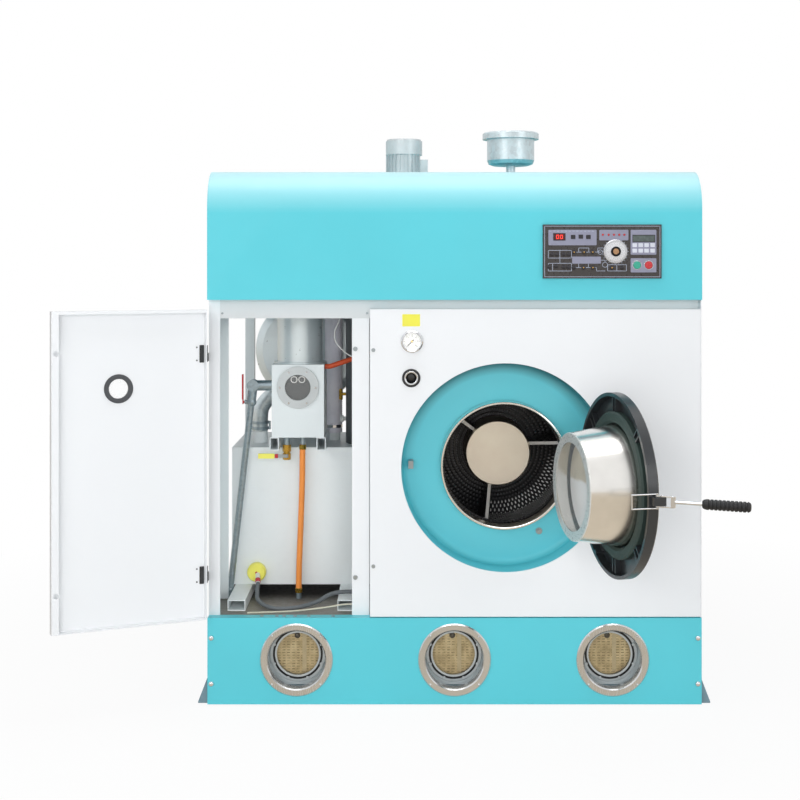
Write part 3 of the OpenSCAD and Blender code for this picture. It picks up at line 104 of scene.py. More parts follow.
class Mat:
    """A material with short calls for its nodes."""

    def __init__(self, name):
        self.m = bpy.data.materials.new(name)
        self.m.use_nodes = True
        self.t = self.m.node_tree
        self.b = self.t.nodes["Principled BSDF"]
        self.place = None

    def node(self, kind, inputs=None, **settings):
        return add_node(self.t, kind, inputs, **settings)

    def coords(self, scale=(1, 1, 1), at=(0, 0, 0)):
        if self.place is None:
            self.place = self.node("TexCoord").outputs["Object"]
        return self.node("Mapping", {"Vector": self.place, "Scale": scale, "Location": at}).outputs["Vector"]

    def axes(self, x=0.0, z=0.0):
        """The object's x, y and z, from a front-to-back axis at x, z."""
        split = self.node("SeparateXYZ", {"Vector": self.coords(at=(-x, 0, -z))})
        return [split.outputs[k] for k in "XYZ"]

    def noise(self, scale, detail, rough=0.55, stretch=(1, 1, 1), vector=None):
        values = {"Scale": scale, "Detail": detail, "Roughness": rough}
        values["Vector"] = vector or self.coords(stretch)
        return self.node("TexNoise", values).outputs["Fac"]

    def math(self, op, *operands):
        return self.node("Math", dict(enumerate(operands)), operation=op).outputs[0]

    def times(self, a, b):
        return self.math("MULTIPLY", a, b)

    def hypot(self, a, b):
        return self.math("SQRT", self.math("ADD", self.math("POWER", a, 2), self.math("POWER", b, 2)))

    def fit(self, value, low, high, new_low, new_high):
        """Maps low..high to new_low..new_high, and stays within it."""
        n = self.node("MapRange", dict(enumerate((value, low, high, new_low, new_high))))
        return n.outputs["Result"]

    def ramp(self, value, stops):
        n = self.node("ValToRGB", {"Fac": value})
        e = n.color_ramp.elements
        while len(e) < len(stops):
            e.new(0.5)
        for i, (pos, col) in enumerate(stops):
            e[i].position = pos
            e[i].color = col
        return n.outputs["Color"]

    def tone(self, noise, dark, pale):
        """A colour from dark to pale, as a noise goes."""
        return self.ramp(noise, [(0.3, dark), (0.7, pale)])

    def mix(self, fac, a, b):
        return self.node("Mix", {"Factor": fac, "A": a, "B": b}, data_type="RGBA").outputs["Result"]

    def base(self, color):
        put(self.t, self.b.inputs["Base Color"], color)

    def rough(self, value):
        put(self.t, self.b.inputs["Roughness"], value)

    def rough_by(self, noise, low, high):
        """Roughness from low to high, as a noise goes."""
        self.rough(self.fit(noise, 0.3, 0.7, low, high))

    def fixed(self, **values):
        """Numbers that are the same all over the surface."""
        for key, value in values.items():
            self.b.inputs[key.replace("_", " ")].default_value = value

    def bump(self, height, strength, distance, edge=0.0):
        """A bump from a height, and edges rounded off by the radius edge."""
        n = self.node("Bump", {"Strength": strength, "Distance": distance, "Height": height})
        if edge:
            bevel = self.node("Bevel", {"Radius": edge}, samples=4)
            put(self.t, n.inputs["Normal"], bevel.outputs["Normal"])
        put(self.t, self.b.inputs["Normal"], n.outputs["Normal"])

    def show(self, shader):
        """Shows this shader in place of the Principled one alone."""
        put(self.t, self.t.nodes["Material Output"].inputs["Surface"], shader)


# ---- Materials ----
def surface(name, color, rough, metal=0.0, tint=0.05, blotch=3.0, grain=900.0, bump=0.12, depth=0.0003,
            coat=0.0, spread=0.06, stretch=(1, 1, 1), edge=0.0012, dust=0.0):
    """Painted, plated or moulded: slow colour change, uneven roughness, a fine bump and soft edges."""
    m = Mat(name)
    slow = m.noise(blotch, 4.0, stretch=stretch)
    col = m.tone(slow, shade(color, 1 - tint), shade(color, 1 + tint * 0.5))
    if dust:
        fine = m.noise(blotch * 14, 6.0, 0.7)
        col = m.mix(m.fit(fine, 0.5, 0.75, 0.0, dust), col, shade(color, 0.72))
    m.base(col)
    m.rough_by(m.noise(blotch * 9, 5.0), max(rough - spread, 0.02), rough + spread)
    m.fixed(Metallic=metal, Coat_Weight=coat, Coat_Roughness=0.12)
    m.bump(m.noise(grain, 2.0), bump, depth, edge)
    return m.m


def enamel(name, color, rough, recess):
    """Sprayed enamel: a painted highlight where the hood's top bends over, or painted shadow under the upper
    edge of the recess.
    """
    m = Mat(name)
    col = m.tone(m.noise(1.8, 4), shade(color, 0.96), shade(color, 1.02))
    if recess:
        # Painted shadow: the teal darkens near the rim in the upper part of the recess, where its edge shades
        # the dish
        x, _, z = m.axes(*LOAD)
        r = m.hypot(x, z)
        up = m.math("DIVIDE", z, r)
        amount = m.times(m.fit(r, 0.322, 0.372, 0.0, 1.0), m.fit(up, 0.0, 0.8, 0.0, 0.95))
        col = m.mix(amount, col, shade(color, 0.12))
    else:
        # Painted highlight: paler teal on the front where the hood's top bends over towards the light above
        _, y, z = m.axes()
        amount = m.times(m.fit(z, 1.745, 1.895, 0.0, 0.52), m.fit(y, -0.50, -0.38, 1.0, 0.0))
        col = m.mix(amount, col, (0.86, 0.98, 0.99, 1))
    m.base(col)
    m.rough_by(m.noise(14, 5), rough - 0.06, rough + 0.06)
    m.fixed(Coat_Weight=0.12, Coat_Roughness=0.3)
    m.bump(m.noise(700, 2), 0.12, 0.0003, 0.0012)
    return m.m


teal = enamel("teal_enamel", rgb("#5CCEDB"), 0.45, False)
recess_teal = enamel("recess_enamel", rgb("#66D0DD"), 0.36, True)
white = surface("white_powder_coat", rgb("#F1F3F5"), 0.42, tint=0.012, blotch=1.2, coat=0.06, grain=1100)
post_grey = surface("frame_grey_coat", rgb("#F4FCFF"), 0.45, tint=0.05, blotch=4)
lintel_grey = surface("lintel_coat", rgb("#DCDEDF"), 0.42, tint=0.02, blotch=3)
tank_grey = surface("tank_satin_paint", rgb("#F5FBFC"), 0.42, tint=0.035, blotch=4, dust=0.08)
box_grey = surface("separator_paint", rgb("#ECF3F4"), 0.42, tint=0.03, blotch=5, dust=0.06)
frame_blue = surface("base_frame_paint", rgb("#7F97A2"), 0.5, tint=0.08, blotch=6, dust=0.15)
black_paint = surface("black_enamel", rgb("#2A2D30"), 0.33, tint=0.12, blotch=8, coat=0.2, grain=500,
                      bump=0.2)
cast_grey = surface("cast_iron_paint", rgb("#50565B"), 0.55, tint=0.15, blotch=14, grain=260, bump=0.5,
                    depth=0.0008)
motor_blue = surface("motor_paint", rgb("#5F7E93"), 0.45, tint=0.08, blotch=9, grain=320, bump=0.35)
gasket = surface("gasket_rubber", rgb("#33433F"), 0.62, tint=0.15, blotch=12, grain=900, bump=0.3)
ring_rubber = surface("window_rubber", rgb("#4A4C4F"), 0.6, tint=0.12, blotch=20, grain=900, bump=0.3)
black_rubber = surface("black_rubber", rgb("#1B1C1E"), 0.55, tint=0.2, blotch=20, grain=1200, bump=0.35)
black_plastic = surface("black_moulding", rgb("#222326"), 0.36, tint=0.12, blotch=25, grain=1500, bump=0.15)
panel_film = surface("panel_film", rgb("#35302F"), 0.3, tint=0.06, blotch=9, grain=2600, bump=0.25, coat=0.15,
                     edge=0.0006)
pad_film = surface("pad_film", rgb("#8E8FA3"), 0.36, tint=0.05, blotch=18, grain=2600, bump=0.2, edge=0.0003)
key_white = surface("key_white", rgb("#D8DBE6"), 0.4, tint=0.04, blotch=30, grain=2600, edge=0.0006)
key_dark = surface("key_dark", rgb("#26242A"), 0.32, tint=0.1, blotch=30, grain=2600, edge=0.0006)
line_blue = surface("mimic_line", rgb("#B9C2D6"), 0.4, tint=0.03, blotch=30, edge=0.0)
lamp_red = surface("lamp_red", rgb("#C23A38"), 0.2, tint=0.1, blotch=60, coat=0.4, edge=0.0003)
lamp_amber = surface("lamp_amber", rgb("#D9A441"), 0.2, tint=0.1, blotch=60, coat=0.4, edge=0.0003)
orange = surface("orange_rubber_hose", rgb("#FF9B4A"), 0.4, tint=0.07, blotch=14, grain=800, bump=0.2)
red_hose = surface("red_rubber_hose", rgb("#D2552F"), 0.42, tint=0.08, blotch=14, grain=800, bump=0.2)
grey_conduit = surface("conduit_pvc", rgb("#6C7276"), 0.45, tint=0.08, blotch=14)
straw_hose = surface("straw_pvc", rgb("#CFCBB8"), 0.3, tint=0.06, blotch=14, coat=0.3)
yellow = surface("yellow_nylon", rgb("#FFF96F"), 0.35, tint=0.05, blotch=18, coat=0.2)
label_yellow = surface("blank_plate_yellow", rgb("#F1EC55"), 0.38, tint=0.03, blotch=20, edge=0.0002)
red_plastic = surface("red_moulding", rgb("#C3242C"), 0.25, tint=0.06, blotch=30, coat=0.4)
green_plastic = surface("green_moulding", rgb("#2FA58B"), 0.25, tint=0.06, blotch=30, coat=0.4)
white_plastic = surface("white_nylon", rgb("#ECEDEA"), 0.35, tint=0.03, blotch=20, coat=0.1)
brass = surface("brass", rgb("#C9A24A"), 0.26, 1.0, tint=0.12, blotch=40, grain=900, spread=0.1)
chrome = surface("chrome_plate", rgb("#DADCDF"), 0.12, 1.0, tint=0.05, blotch=30, spread=0.05, bump=0.04)
zinc = surface("zinc_plate", rgb("#B3BCC2"), 0.36, 1.0, tint=0.14, blotch=35, grain=500, spread=0.12,
               dust=0.2)
steel_dark = surface("machined_steel", rgb("#85888B"), 0.32, 1.0, tint=0.1, blotch=30)
bright_zinc = surface("column_zinc", rgb("#E2ECEF"), 0.33, 0.5, tint=0.05, blotch=5, stretch=(1, 1, 0.3),
                      dust=0.1)
motor_alloy = surface("cast_alloy", rgb("#CFD3D5"), 0.4, 0.35, tint=0.1, blotch=18, grain=500, bump=0.3)
flange_steel = surface("flange_paint", rgb("#C9CFD1"), 0.35, 0.3, tint=0.06, blotch=14)
rim_steel = surface("cone_rim", rgb("#D9D9D6"), 0.3, 0.35, tint=0.05, blotch=20)
edge_steel = surface("lifter_edge", rgb("#F2F1EE"), 0.35, 0.3, tint=0.05, blotch=20)
lilac = surface("lilac_ribbed_hose", rgb("#F5F3FF"), 0.5, tint=0.1, blotch=10, grain=700, bump=0.25)
band_mat = surface("pale_band", rgb("#D9CFB8"), 0.6, tint=0.12, blotch=40, dust=0.4)
inner_dark = surface("separator_inside", rgb("#1F1C19"), 0.6, tint=0.2, blotch=20, dust=0.3)
dial_face = surface("gauge_face", rgb("#F4F4F0"), 0.4, tint=0.01, edge=0.0)
ink = surface("gauge_ink", rgb("#1D1E20"), 0.5, tint=0.05, edge=0.0)
sight_dark = surface("sight_well", rgb("#16171A"), 0.18, tint=0.2, blotch=60, coat=0.5)


def galvanised(name, color, scale, rough):
    """Zinc spangle: flat cells of slightly different grey."""
    m = Mat(name)
    cells = m.node("TexVoronoi", {"Scale": scale, "Randomness": 1.0, "Vector": m.coords()}, feature="F1")
    red = m.node("SeparateColor", {"Color": cells.outputs["Color"]}).outputs["Red"]
    cell = m.math("ADD", m.times(red, 0.6), m.times(m.noise(9, 4), 0.5))
    m.base(m.ramp(cell, [(0.2, shade(color, 0.84)), (0.8, shade(color, 1.08))]))
    m.rough(m.fit(cell, 0.1, 0.9, rough - 0.1, rough + 0.12))
    m.fixed(Metallic=0.85)
    m.bump(m.noise(500, 3), 0.15, 0.0004, 0.001)
    return m.m


def cover_material():
    """Bare sheet over the base tank, with painted shade where it runs back under the still."""
    m = Mat("cover_sheet")
    # Painted shade: the sheet darkens towards the back, under the still tank
    dark = m.fit(m.axes()[1], -0.46, -0.26, 0.0, 1.0)
    sheet = m.tone(m.noise(7, 4), rgb("#86827B"), rgb("#9C9891"))
    m.base(m.mix(dark, sheet, rgb("#3A3836")))
    m.rough_by(m.noise(60, 4), 0.42, 0.6)
    m.fixed(Metallic=0.35)
    m.bump(m.noise(500, 3), 0.15, 0.0004, 0.001)
    return m.m


def turned_steel(name, centre, color, rough, lines=900.0):
    """Stainless steel with the fine rings of turning or circular polishing round a front-to-back axis."""
    m = Mat(name)
    x, y, z = m.axes(*centre)
    across = m.node("CombineXYZ", {"X": m.hypot(x, z), "Y": y})
    rings = m.noise(lines, 2.0, vector=across.outputs["Vector"])
    m.base(m.tone(m.noise(6, 4), shade(color, 0.92), shade(color, 1.04)))
    m.rough_by(rings, max(rough - 0.08, 0.04), rough + 0.1)
    m.fixed(Metallic=1.0)
    m.bump(rings, 0.08, 0.0002, 0.001)
    return m.m


STEEL = rgb("#F0EEEA")
galv = galvanised("galvanised_sheet", rgb("#CBD5D9"), 70.0, 0.36)
galv_pipe = galvanised("galvanised_pipe", rgb("#A6B5BD"), 110.0, 0.4)
cover_steel = cover_material()
ring_steel = turned_steel("polished_ring", LOAD, STEEL, 0.16)
trim_steel = turned_steel("trim_steel", (0, PORT_Z), rgb("#D5D7D8"), 0.22, 500)
hub_steel = turned_steel("hub_steel", LOAD, rgb("#FFF3E4"), 0.42, 600)


def glass(name, color=(1, 1, 1, 1), rough=0.02):
    """Clear glass that also lets the lamps' light through to what is behind it."""
    m = Mat(name)
    m.base(color)
    m.rough_by(m.noise(18, 3), rough, rough + 0.02)
    m.fixed(Transmission_Weight=1.0, IOR=1.45)
    through = m.node("BsdfTransparent", {"Color": color})
    shadow = ray_is(m.t, "Is Shadow Ray", "Is Diffuse Ray")
    m.show(blend_shader(m.t, shadow, m.b.outputs[0], through.outputs[0]))
    return m.m


def pane_material():
    """A thin flat pane: almost clear, with a faint reflection."""
    m = Mat("thin_pane")
    m.base(rgb("#F4F8F8"))
    m.rough_by(m.noise(18, 3), 0.03, 0.06)
    m.show(blend_shader(m.t, 0.9, m.b.outputs[0], m.node("BsdfTransparent").outputs[0]))
    return m.m


clear = glass("clear_glass")
tinted = glass("port_glass", rgb("#F4F0E6"), 0.03)
pane = pane_material()


def cone_material():
    """Polished cone: drawn steel, with fine upright streaks in its roughness."""
    m = Mat("cone_steel")
    m.base(m.tone(m.noise(5, 5), shade(STEEL, 0.9), shade(STEEL, 1.05)))
    m.rough_by(m.noise(60, 3, stretch=(30, 30, 1)), 0.14, 0.28)
    m.fixed(Metallic=1.0)
    m.bump(m.noise(14, 2), 0.05, 0.002, 0.001)
    return m.m


def inner_plate_material():
    """Plate seen through the door glass, with painted reflections: warm grey with fine marks above, bright
    below.
    """
    m = Mat("door_inner_plate")
    z = m.axes(0, LOAD[1])[2]
    edge = m.math("ADD", z, m.times(m.noise(9, 3), 0.06))
    upper = m.fit(edge, 0.028, 0.040, 0.0, 1.0)
    marks = m.fit(m.noise(120, 4, 0.7, stretch=(1, 1, 0.25)), 0.45, 0.7, 0.0, 0.5)
    warm = m.mix(marks, rgb("#CFC5AE"), rgb("#8F866F"))
    m.base(m.mix(upper, (0.93, 0.94, 0.94, 1), warm))
    m.rough(0.35)
    m.bump(m.noise(60, 3), 0.1, 0.001)
    return m.m


def drum_material():
    """Stainless drum: rows of pressed holes round the shell and in rings on the back; its steel is painted
    near black as painted shade inside the drum, with painted highlights on holes below right.
    """
    m = Mat("perforated_drum")
    x, y, z = m.axes(*LOAD)
    r = m.hypot(x, z)
    turn = m.math("ARCTAN2", z, x)
    shell_r, hub_r, lip_y = 0.2585, 0.134, -0.4515
    # Rows lie along y on the shell and outwards on the back, each shifted half a hole from the last
    shell = m.math("GREATER_THAN", r, shell_r)
    run = m.math("ADD", m.times(y, shell), m.times(r, m.math("SUBTRACT", 1.0, shell)))
    along = m.times(run, 1 / HOLE_PITCH)
    row = m.math("FLOOR", along)
    around = m.math("ADD", m.times(turn, HOLES_ROUND / (2 * math.pi)), m.times(row, 0.5))
    u = m.math("SUBTRACT", m.math("FRACT", around), 0.5)
    v = m.math("SUBTRACT", m.math("FRACT", along), 0.5)
    u = m.times(u, m.times(r, 2 * math.pi / HOLES_ROUND / HOLE_PITCH))
    d = m.hypot(u, v)
    # No holes on the hub and the front ring
    holed = m.times(m.math("GREATER_THAN", r, hub_r), m.math("GREATER_THAN", y, lip_y))
    hole = m.times(m.fit(d, 0.16, 0.21, 1.0, 0.0), holed)
    # Painted shade: the steel is near black, since the inside of the drum is in shade
    steel = m.tone(m.noise(7, 4), (0.035, 0.035, 0.038, 1), (0.055, 0.055, 0.055, 1))
    # Painted highlight: below right of the axis, the holes in the outer part of the back are painted pale, as
    # if catching the light
    away = m.math("ABSOLUTE", m.math("ADD", turn, math.radians(55)))
    lit = m.times(m.fit(away, 0.60, 0.85, 1.0, 0.0), m.fit(r, 0.206, 0.222, 0.0, 1.0))
    dash = m.fit(m.hypot(u, m.times(v, 0.45)), 0.13, 0.2, 1.0, 0.0)
    dash = m.times(m.times(dash, lit), holed)
    m.base(m.mix(dash, m.mix(hole, steel, (0.045, 0.045, 0.048, 1)), (0.92, 0.92, 0.91, 1)))
    m.rough_by(m.noise(40, 3), 0.22, 0.38)
    put(m.t, m.b.inputs["Metallic"], m.math("SUBTRACT", 1.0, m.math("MAXIMUM", hole, dash)))
    m.bump(m.fit(d, 0.1, 0.42, 0.0, 1.0), 0.35, 0.002, 0.0008)
    return m.m


def dial_material():
    """Silver knob with a black ring, a copper cap and fine knurling at its edge."""
    m = Mat("dial_finish")
    x, _, z = m.axes(*DIAL)
    r = m.hypot(x, z)
    turn = m.math("ARCTAN2", z, x)
    knurls = m.math("GREATER_THAN", m.math("SINE", m.times(turn, 60)), 0.8)
    rim = m.times(m.math("GREATER_THAN", r, 0.034), m.math("LESS_THAN", r, 0.0405))
    silver = m.mix(m.times(knurls, rim), rgb("#D5D6DA"), rgb("#4A4A50"))
    body = m.mix(m.math("LESS_THAN", r, 0.0178), silver, rgb("#1E1E20"))
    m.base(m.mix(m.math("LESS_THAN", r, 0.0102), body, rgb("#B08A68")))
    m.rough_by(m.noise(300, 2), 0.24, 0.36)
    m.fixed(Metallic=0.75)
    m.bump(m.noise(1500, 2), 0.1, 0.0002, 0.0006)
    return m.m


def port_material():
    """Fouled filter plates behind the glass: beige and brown, with rows of slots."""
    m = Mat("filter_plates")
    x, _, z = m.axes()
    rows = m.math("GREATER_THAN", m.math("SINE", m.times(z, 2 * math.pi / 0.0098)), 0.55)
    wavy = m.math("ADD", x, m.times(m.noise(30, 2), 0.01))
    dash = m.math("GREATER_THAN", m.math("SINE", m.times(wavy, 2 * math.pi / 0.017)), -0.35)
    worn = m.times(m.times(rows, dash), m.fit(m.noise(45, 4, 0.7), 0.35, 0.6, 0.1, 0.85))
    stops = [(0.3, rgb("#A8987C")), (0.5, rgb("#DACBAA")), (0.72, rgb("#FBF0D6"))]
    m.base(m.mix(worn, m.ramp(m.noise(16, 6, 0.7), stops), rgb("#6E634F")))
    m.rough(0.7)
    m.bump(worn, 0.5, 0.002)
    return m.m


def window_material(name, dark, pale, noise, rough):
    """The smoked window of a display."""
    m = Mat(name)
    m.base(m.tone(m.noise(noise, 2), dark, pale))
    m.rough(rough)
    return m.m


def segment_material():
    """Lit red segments of a display."""
    m = Mat("led_segments")
    m.base(rgb("#E8483E"))
    m.fixed(Emission_Color=rgb("#FF3B2E"), Emission_Strength=0.9)
    m.rough_by(m.noise(400, 2), 0.3, 0.5)
    return m.m


# ---- Shape helpers ----
def piece(name, verts, faces, material, body="root", angle=35, matrix=None):
    """A smooth-shaded mesh with edges sharper than angle kept sharp, riding on a body."""
    mesh = bpy.data.meshes.new(name)
    mesh.from_pydata([tuple(v) for v in verts], [], faces)
    if matrix is not None:
        mesh.transform(matrix)
    mesh.validate()
    mesh.update()
    mesh.shade_smooth()
    mesh.set_sharp_from_angle(angle=math.radians(angle))
    obj = bpy.data.objects.new(name, mesh)
    bpy.context.scene.collection.objects.link(obj)
    mesh.materials.append(material)
    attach(obj, body)
    return obj


def polar(centre, r, degrees):
    """The point at that distance and angle from a centre, both in x and z."""
    a = math.radians(degrees)
    return centre[0] + r * math.cos(a), centre[1] + r * math.sin(a)


def band(r0, r1, t0, t1):
    """The profile of a disc (r0 = 0) or ring, from t0 to t1 along its axis."""
    return [(r0, t0), (r1, t0), (r1, t1), (r0, t1)]


class Batch:
    """Many small solids gathered in one mesh."""

    def __init__(self):
        self.v, self.f = [], []

    def add(self, verts, faces):
        n = len(self.v)
        self.v += [Vector(v) for v in verts]
        self.f += [[i + n for i in face] for face in faces]

    def prism(self, outline, y0, y1, taper=0.0):
        """An outline in x and z, from y0 (back) to y1 (front, smaller y), drawn in by taper at the front."""
        n = len(outline)
        cx = sum(p[0] for p in outline) / n
        cz = sum(p[1] for p in outline) / n
        front = []
        for x, z in outline:
            d = math.hypot(x - cx, z - cz) or 1
            front.append((x - (x - cx) / d * taper, z - (z - cz) / d * taper))
        verts = [(x, y0, z) for x, z in outline] + [(x, y1, z) for x, z in front]
        faces = [list(range(n))[::-1], list(range(n, 2 * n))]
        faces += [[i, (i + 1) % n, n + (i + 1) % n, n + i] for i in range(n)]
        self.add(verts, faces)

    def rect(self, x0, x1, z0, z1, y0, y1, r=0.0, taper=0.0):
        """A block from y0 (back) to y1 (front), its four front-to-back edges rounded by r."""
        if r <= 0:
            out = [(x0, z0), (x1, z0), (x1, z1), (x0, z1)]
        else:
            out = []
            for cx, cz, start in ((x1 - r, z0 + r, -90), (x1 - r, z1 - r, 0),
                                  (x0 + r, z1 - r, 90), (x0 + r, z0 + r, 180)):
                out += [polar((cx, cz), r, start + k * 30) for k in range(4)]
        self.prism(out, y0, y1, taper)

    def lathe(self, profile, centre, axis="Y", seg=96):
        """Turns [radius, place along the axis] points round an axis; centre is the other two coordinates."""
        a, b = centre
        verts, faces = [], []
        n = len(profile)
        for k in range(seg):
            c, s = math.cos(2 * math.pi * k / seg), math.sin(2 * math.pi * k / seg)
            for r, t in profile:
                r = max(r, 1e-5)
                if axis == "Y":
                    verts.append((a + r * c, t, b + r * s))
                elif axis == "Z":
                    verts.append((a + r * c, b + r * s, t))
                else:
                    verts.append((t, a + r * c, b + r * s))
        for k in range(seg):
            m = (k + 1) % seg
            faces += [[k * n + i, m * n + i, m * n + i + 1, k * n + i + 1] for i in range(n - 1)]
        self.add(verts, faces)

    def line(self, points, width, y0, y1):
        """A flat strip of that width through points in x and z."""
        for (x0, z0), (x1, z1) in zip(points, points[1:]):
            d = math.hypot(x1 - x0, z1 - z0) or 1
            ux, uz = (x1 - x0) / d, (z1 - z0) / d
            w = width / 2
            x0, z0, x1, z1 = x0 - ux * w, z0 - uz * w, x1 + ux * w, z1 + uz * w
            self.prism([(x0 + uz * w, z0 - ux * w), (x1 + uz * w, z1 - ux * w),
                        (x1 - uz * w, z1 + ux * w), (x0 - uz * w, z0 + ux * w)], y0, y1)

    def make(self, name, material, body="root", matrix=None, angle=35):
        return piece(name, self.v, self.f, material, body, angle, matrix)


def turned(name, profile, centre, material, body="root", axis="Y", seg=96, matrix=None, angle=35):
    b = Batch()
    b.lathe(profile, centre, axis, seg)
    return b.make(name, material, body, matrix, angle)


def smooth_route(route, steps=6):
    """The same curve through the route's points as the part's own hoses."""
    pts = [Vector(p) for p in route]
    n = len(pts) - 1
    out = []
    for i in range(n):
        a, b, c, d = pts[max(i - 1, 0)], pts[i], pts[i + 1], pts[min(i + 2, n)]
        for k in range(steps):
            t = k / steps
            square, cube = 2 * a - 5 * b + 4 * c - d, 3 * b - a - 3 * c + d
            out.append(0.5 * (2 * b + (c - a) * t + square * t * t + cube * t ** 3))
    out.append(pts[n])
    return out


def ribbed(pts, radius, pitch, depth):
    """Rings along a route, with a groove of that depth once every pitch."""
    rings, run = [], 0.0
    for a, b in zip(pts, pts[1:]):
        span = (b - a).length
        n = max(int(span / (pitch / 6)), 1)
        for k in range(n):
            phase = (run + span * k / n) / pitch * 2 * math.pi
            rings.append((a.lerp(b, k / n), radius - depth * (0.5 - 0.5 * math.cos(phase))))
        run += span
    rings.append((pts[-1], radius))
    return rings


def hose(name, route, radius, material, pitch=0.0, depth=0.0, sides=24):
    """A round tube along a route in millimetres, ribbed if it has a pitch. Returns it and its points."""
    pts = smooth_route([[c / 1000 for c in p] for p in route])
    rings = ribbed(pts, radius, pitch, depth) if pitch else [(p, radius) for p in pts]
    verts, faces = [], []
    up = None
    for i, (p, r) in enumerate(rings):
        t = (rings[min(i + 1, len(rings) - 1)][0] - rings[max(i - 1, 0)][0]).normalized()
        if up is None:
            up = t.orthogonal()
        up = (up - t * up.dot(t)).normalized()
        side = t.cross(up)
        turns = [2 * math.pi * k / sides for k in range(sides)]
        verts += [p + r * (math.cos(a) * up + math.sin(a) * side) for a in turns]
    for i in range(len(rings) - 1):
        for k in range(sides):
            a, b = i * sides + k, i * sides + (k + 1) % sides
            faces.append([a, b, b + sides, a + sides])
    faces += [list(range(sides))[::-1], list(range(len(verts) - sides, len(verts)))]
    return piece(name, verts, faces, material, angle=60), pts


# ---- Camera, floor and light ----
cam_data = bpy.data.cameras.new("Camera")
cam = bpy.data.objects.new("Camera", cam_data)
bpy.context.scene.collection.objects.link(cam)
cam.location = (-0.1931, -5.326, 1.555)
cam.rotation_euler = (math.pi / 2, 0, 0)
cam_data.sensor_width = 36
cam_data.lens = 60.03
cam_data.shift_y = -0.1665
bpy.context.scene.camera = cam
bpy.context.scene.view_settings.view_transform = "Standard"


def floor_material():
    """A pale floor, white to the camera further out, and a warm grey in mirror reflections."""
    m = Mat("floor_white")
    m.base(m.tone(m.noise(0.6, 3), (0.90, 0.905, 0.91, 1), (0.93, 0.93, 0.93, 1)))
    m.rough(0.85)
    far = m.node("VectorMath", {0: m.coords((1, 1, 0))}, operation="LENGTH")
    share = m.fit(far.outputs["Value"], 1.2, 3.0, 0.93, 1.0)
    seen = m.times(share, ray_is(m.t, "Is Camera Ray", "Is Transmission Ray"))
    paper = m.node("Emission")
    studio = m.node("Emission", {"Color": (0.70, 0.615, 0.50, 1)})
    shown = blend_shader(m.t, seen, m.b.outputs[0], paper.outputs[0])
    m.show(blend_shader(m.t, ray_is(m.t, "Is Glossy Ray"), shown, studio.outputs[0]))
    return m.m


floor_mesh = bpy.data.meshes.new("floor")
floor_mesh.from_pydata([(-60, -14, 0), (60, -14, 0), (60, 300, 0), (-60, 300, 0)], [], [(0, 1, 2, 3)])
floor = bpy.data.objects.new("floor", floor_mesh)
bpy.context.scene.collection.objects.link(floor)
floor_mesh.materials.append(floor_material())


def studio_world():
    """A soft grey sky to light the object, and plain white where the camera or a reflection sees it."""
    world = bpy.data.worlds.new("studio")
    world.use_nodes = True
    tree = world.node_tree
    split = add_node(tree, "SeparateXYZ", {0: add_node(tree, "TexCoord").outputs["Generated"]})
    ramp = add_node(tree, "ValToRGB", {"Fac": split.outputs["Z"]})
    low, high = ramp.color_ramp.elements
    low.position, low.color = 0.0, (0.75, 0.76, 0.78, 1)
    high.position, high.color = 0.8, (0.97, 0.98, 1.0, 1)
    sky = tree.nodes["Background"]
    put(tree, sky.inputs["Color"], ramp.outputs["Color"])
    sky.inputs["Strength"].default_value = 0.29
    plain = add_node(tree, "Background", {"Color": (1, 1, 1, 1), "Strength": 1.0})
    seen = ray_is(tree, "Is Camera Ray", "Is Transmission Ray", "Is Glossy Ray")
    shown = blend_shader(tree, seen, sky.outputs[0], plain.outputs[0])
    put(tree, tree.nodes["World Output"].inputs["Surface"], shown)
    return world


bpy.context.scene.world = studio_world()


def softbox(name, place, aim, size, power):
    data = bpy.data.lights.new(name, "AREA")
    data.shape = "RECTANGLE"
    data.size, data.size_y = size
    data.energy = power
    light = bpy.data.objects.new(name, data)
    bpy.context.scene.collection.objects.link(light)
    light.location = place
    light.rotation_euler = (Vector(aim) - Vector(place)).to_track_quat("-Z", "Y").to_euler()
    return light


softbox("key", (-3.4, -5.2, 3.6), (0, -0.4, 0.9), (2.6, 2.6), 47)
softbox("fill", (4.2, -4.6, 2.4), (0.2, -0.4, 0.8), (2.4, 2.4), 29)
softbox("top", (0.0, -0.9, 4.6), (0, -0.3, 1.2), (3.4, 2.0), 67)
# The front light is broad and plain, and stays out of mirror reflections
softbox("front", (-0.3, -7.6, 1.7), (-0.1, -0.5, 0.9), (5.0, 3.0), 213).visible_glossy = False


# ---- Materials of the part's own solids ----
def paint(node, *materials, pick=None):
    """Gives a CAD solid its materials. Of several, pick chooses by a face's centre and normal."""
    obj = nodes[node]
    obj.data.materials.clear()
    for m in materials:
        obj.data.materials.append(m)
    for p in obj.data.polygons:
        p.material_index = int(pick(p.center, p.normal)) if pick else 0


def shut(point):
    """Where a point of the service door is with the door shut."""
    return SERVICE.inverted() @ point


def drum_pick(c, n):
    """Hub face and cup, the lifters' sloping edges with their painted highlight, and the rest."""
    out = c.xz - Vector(LOAD)
    if out.length < 0.1265 and c.y < -0.06:
        return 1
    return 2 if n.y < -0.2 and n.xz.dot(out.normalized()) < -0.2 else 0


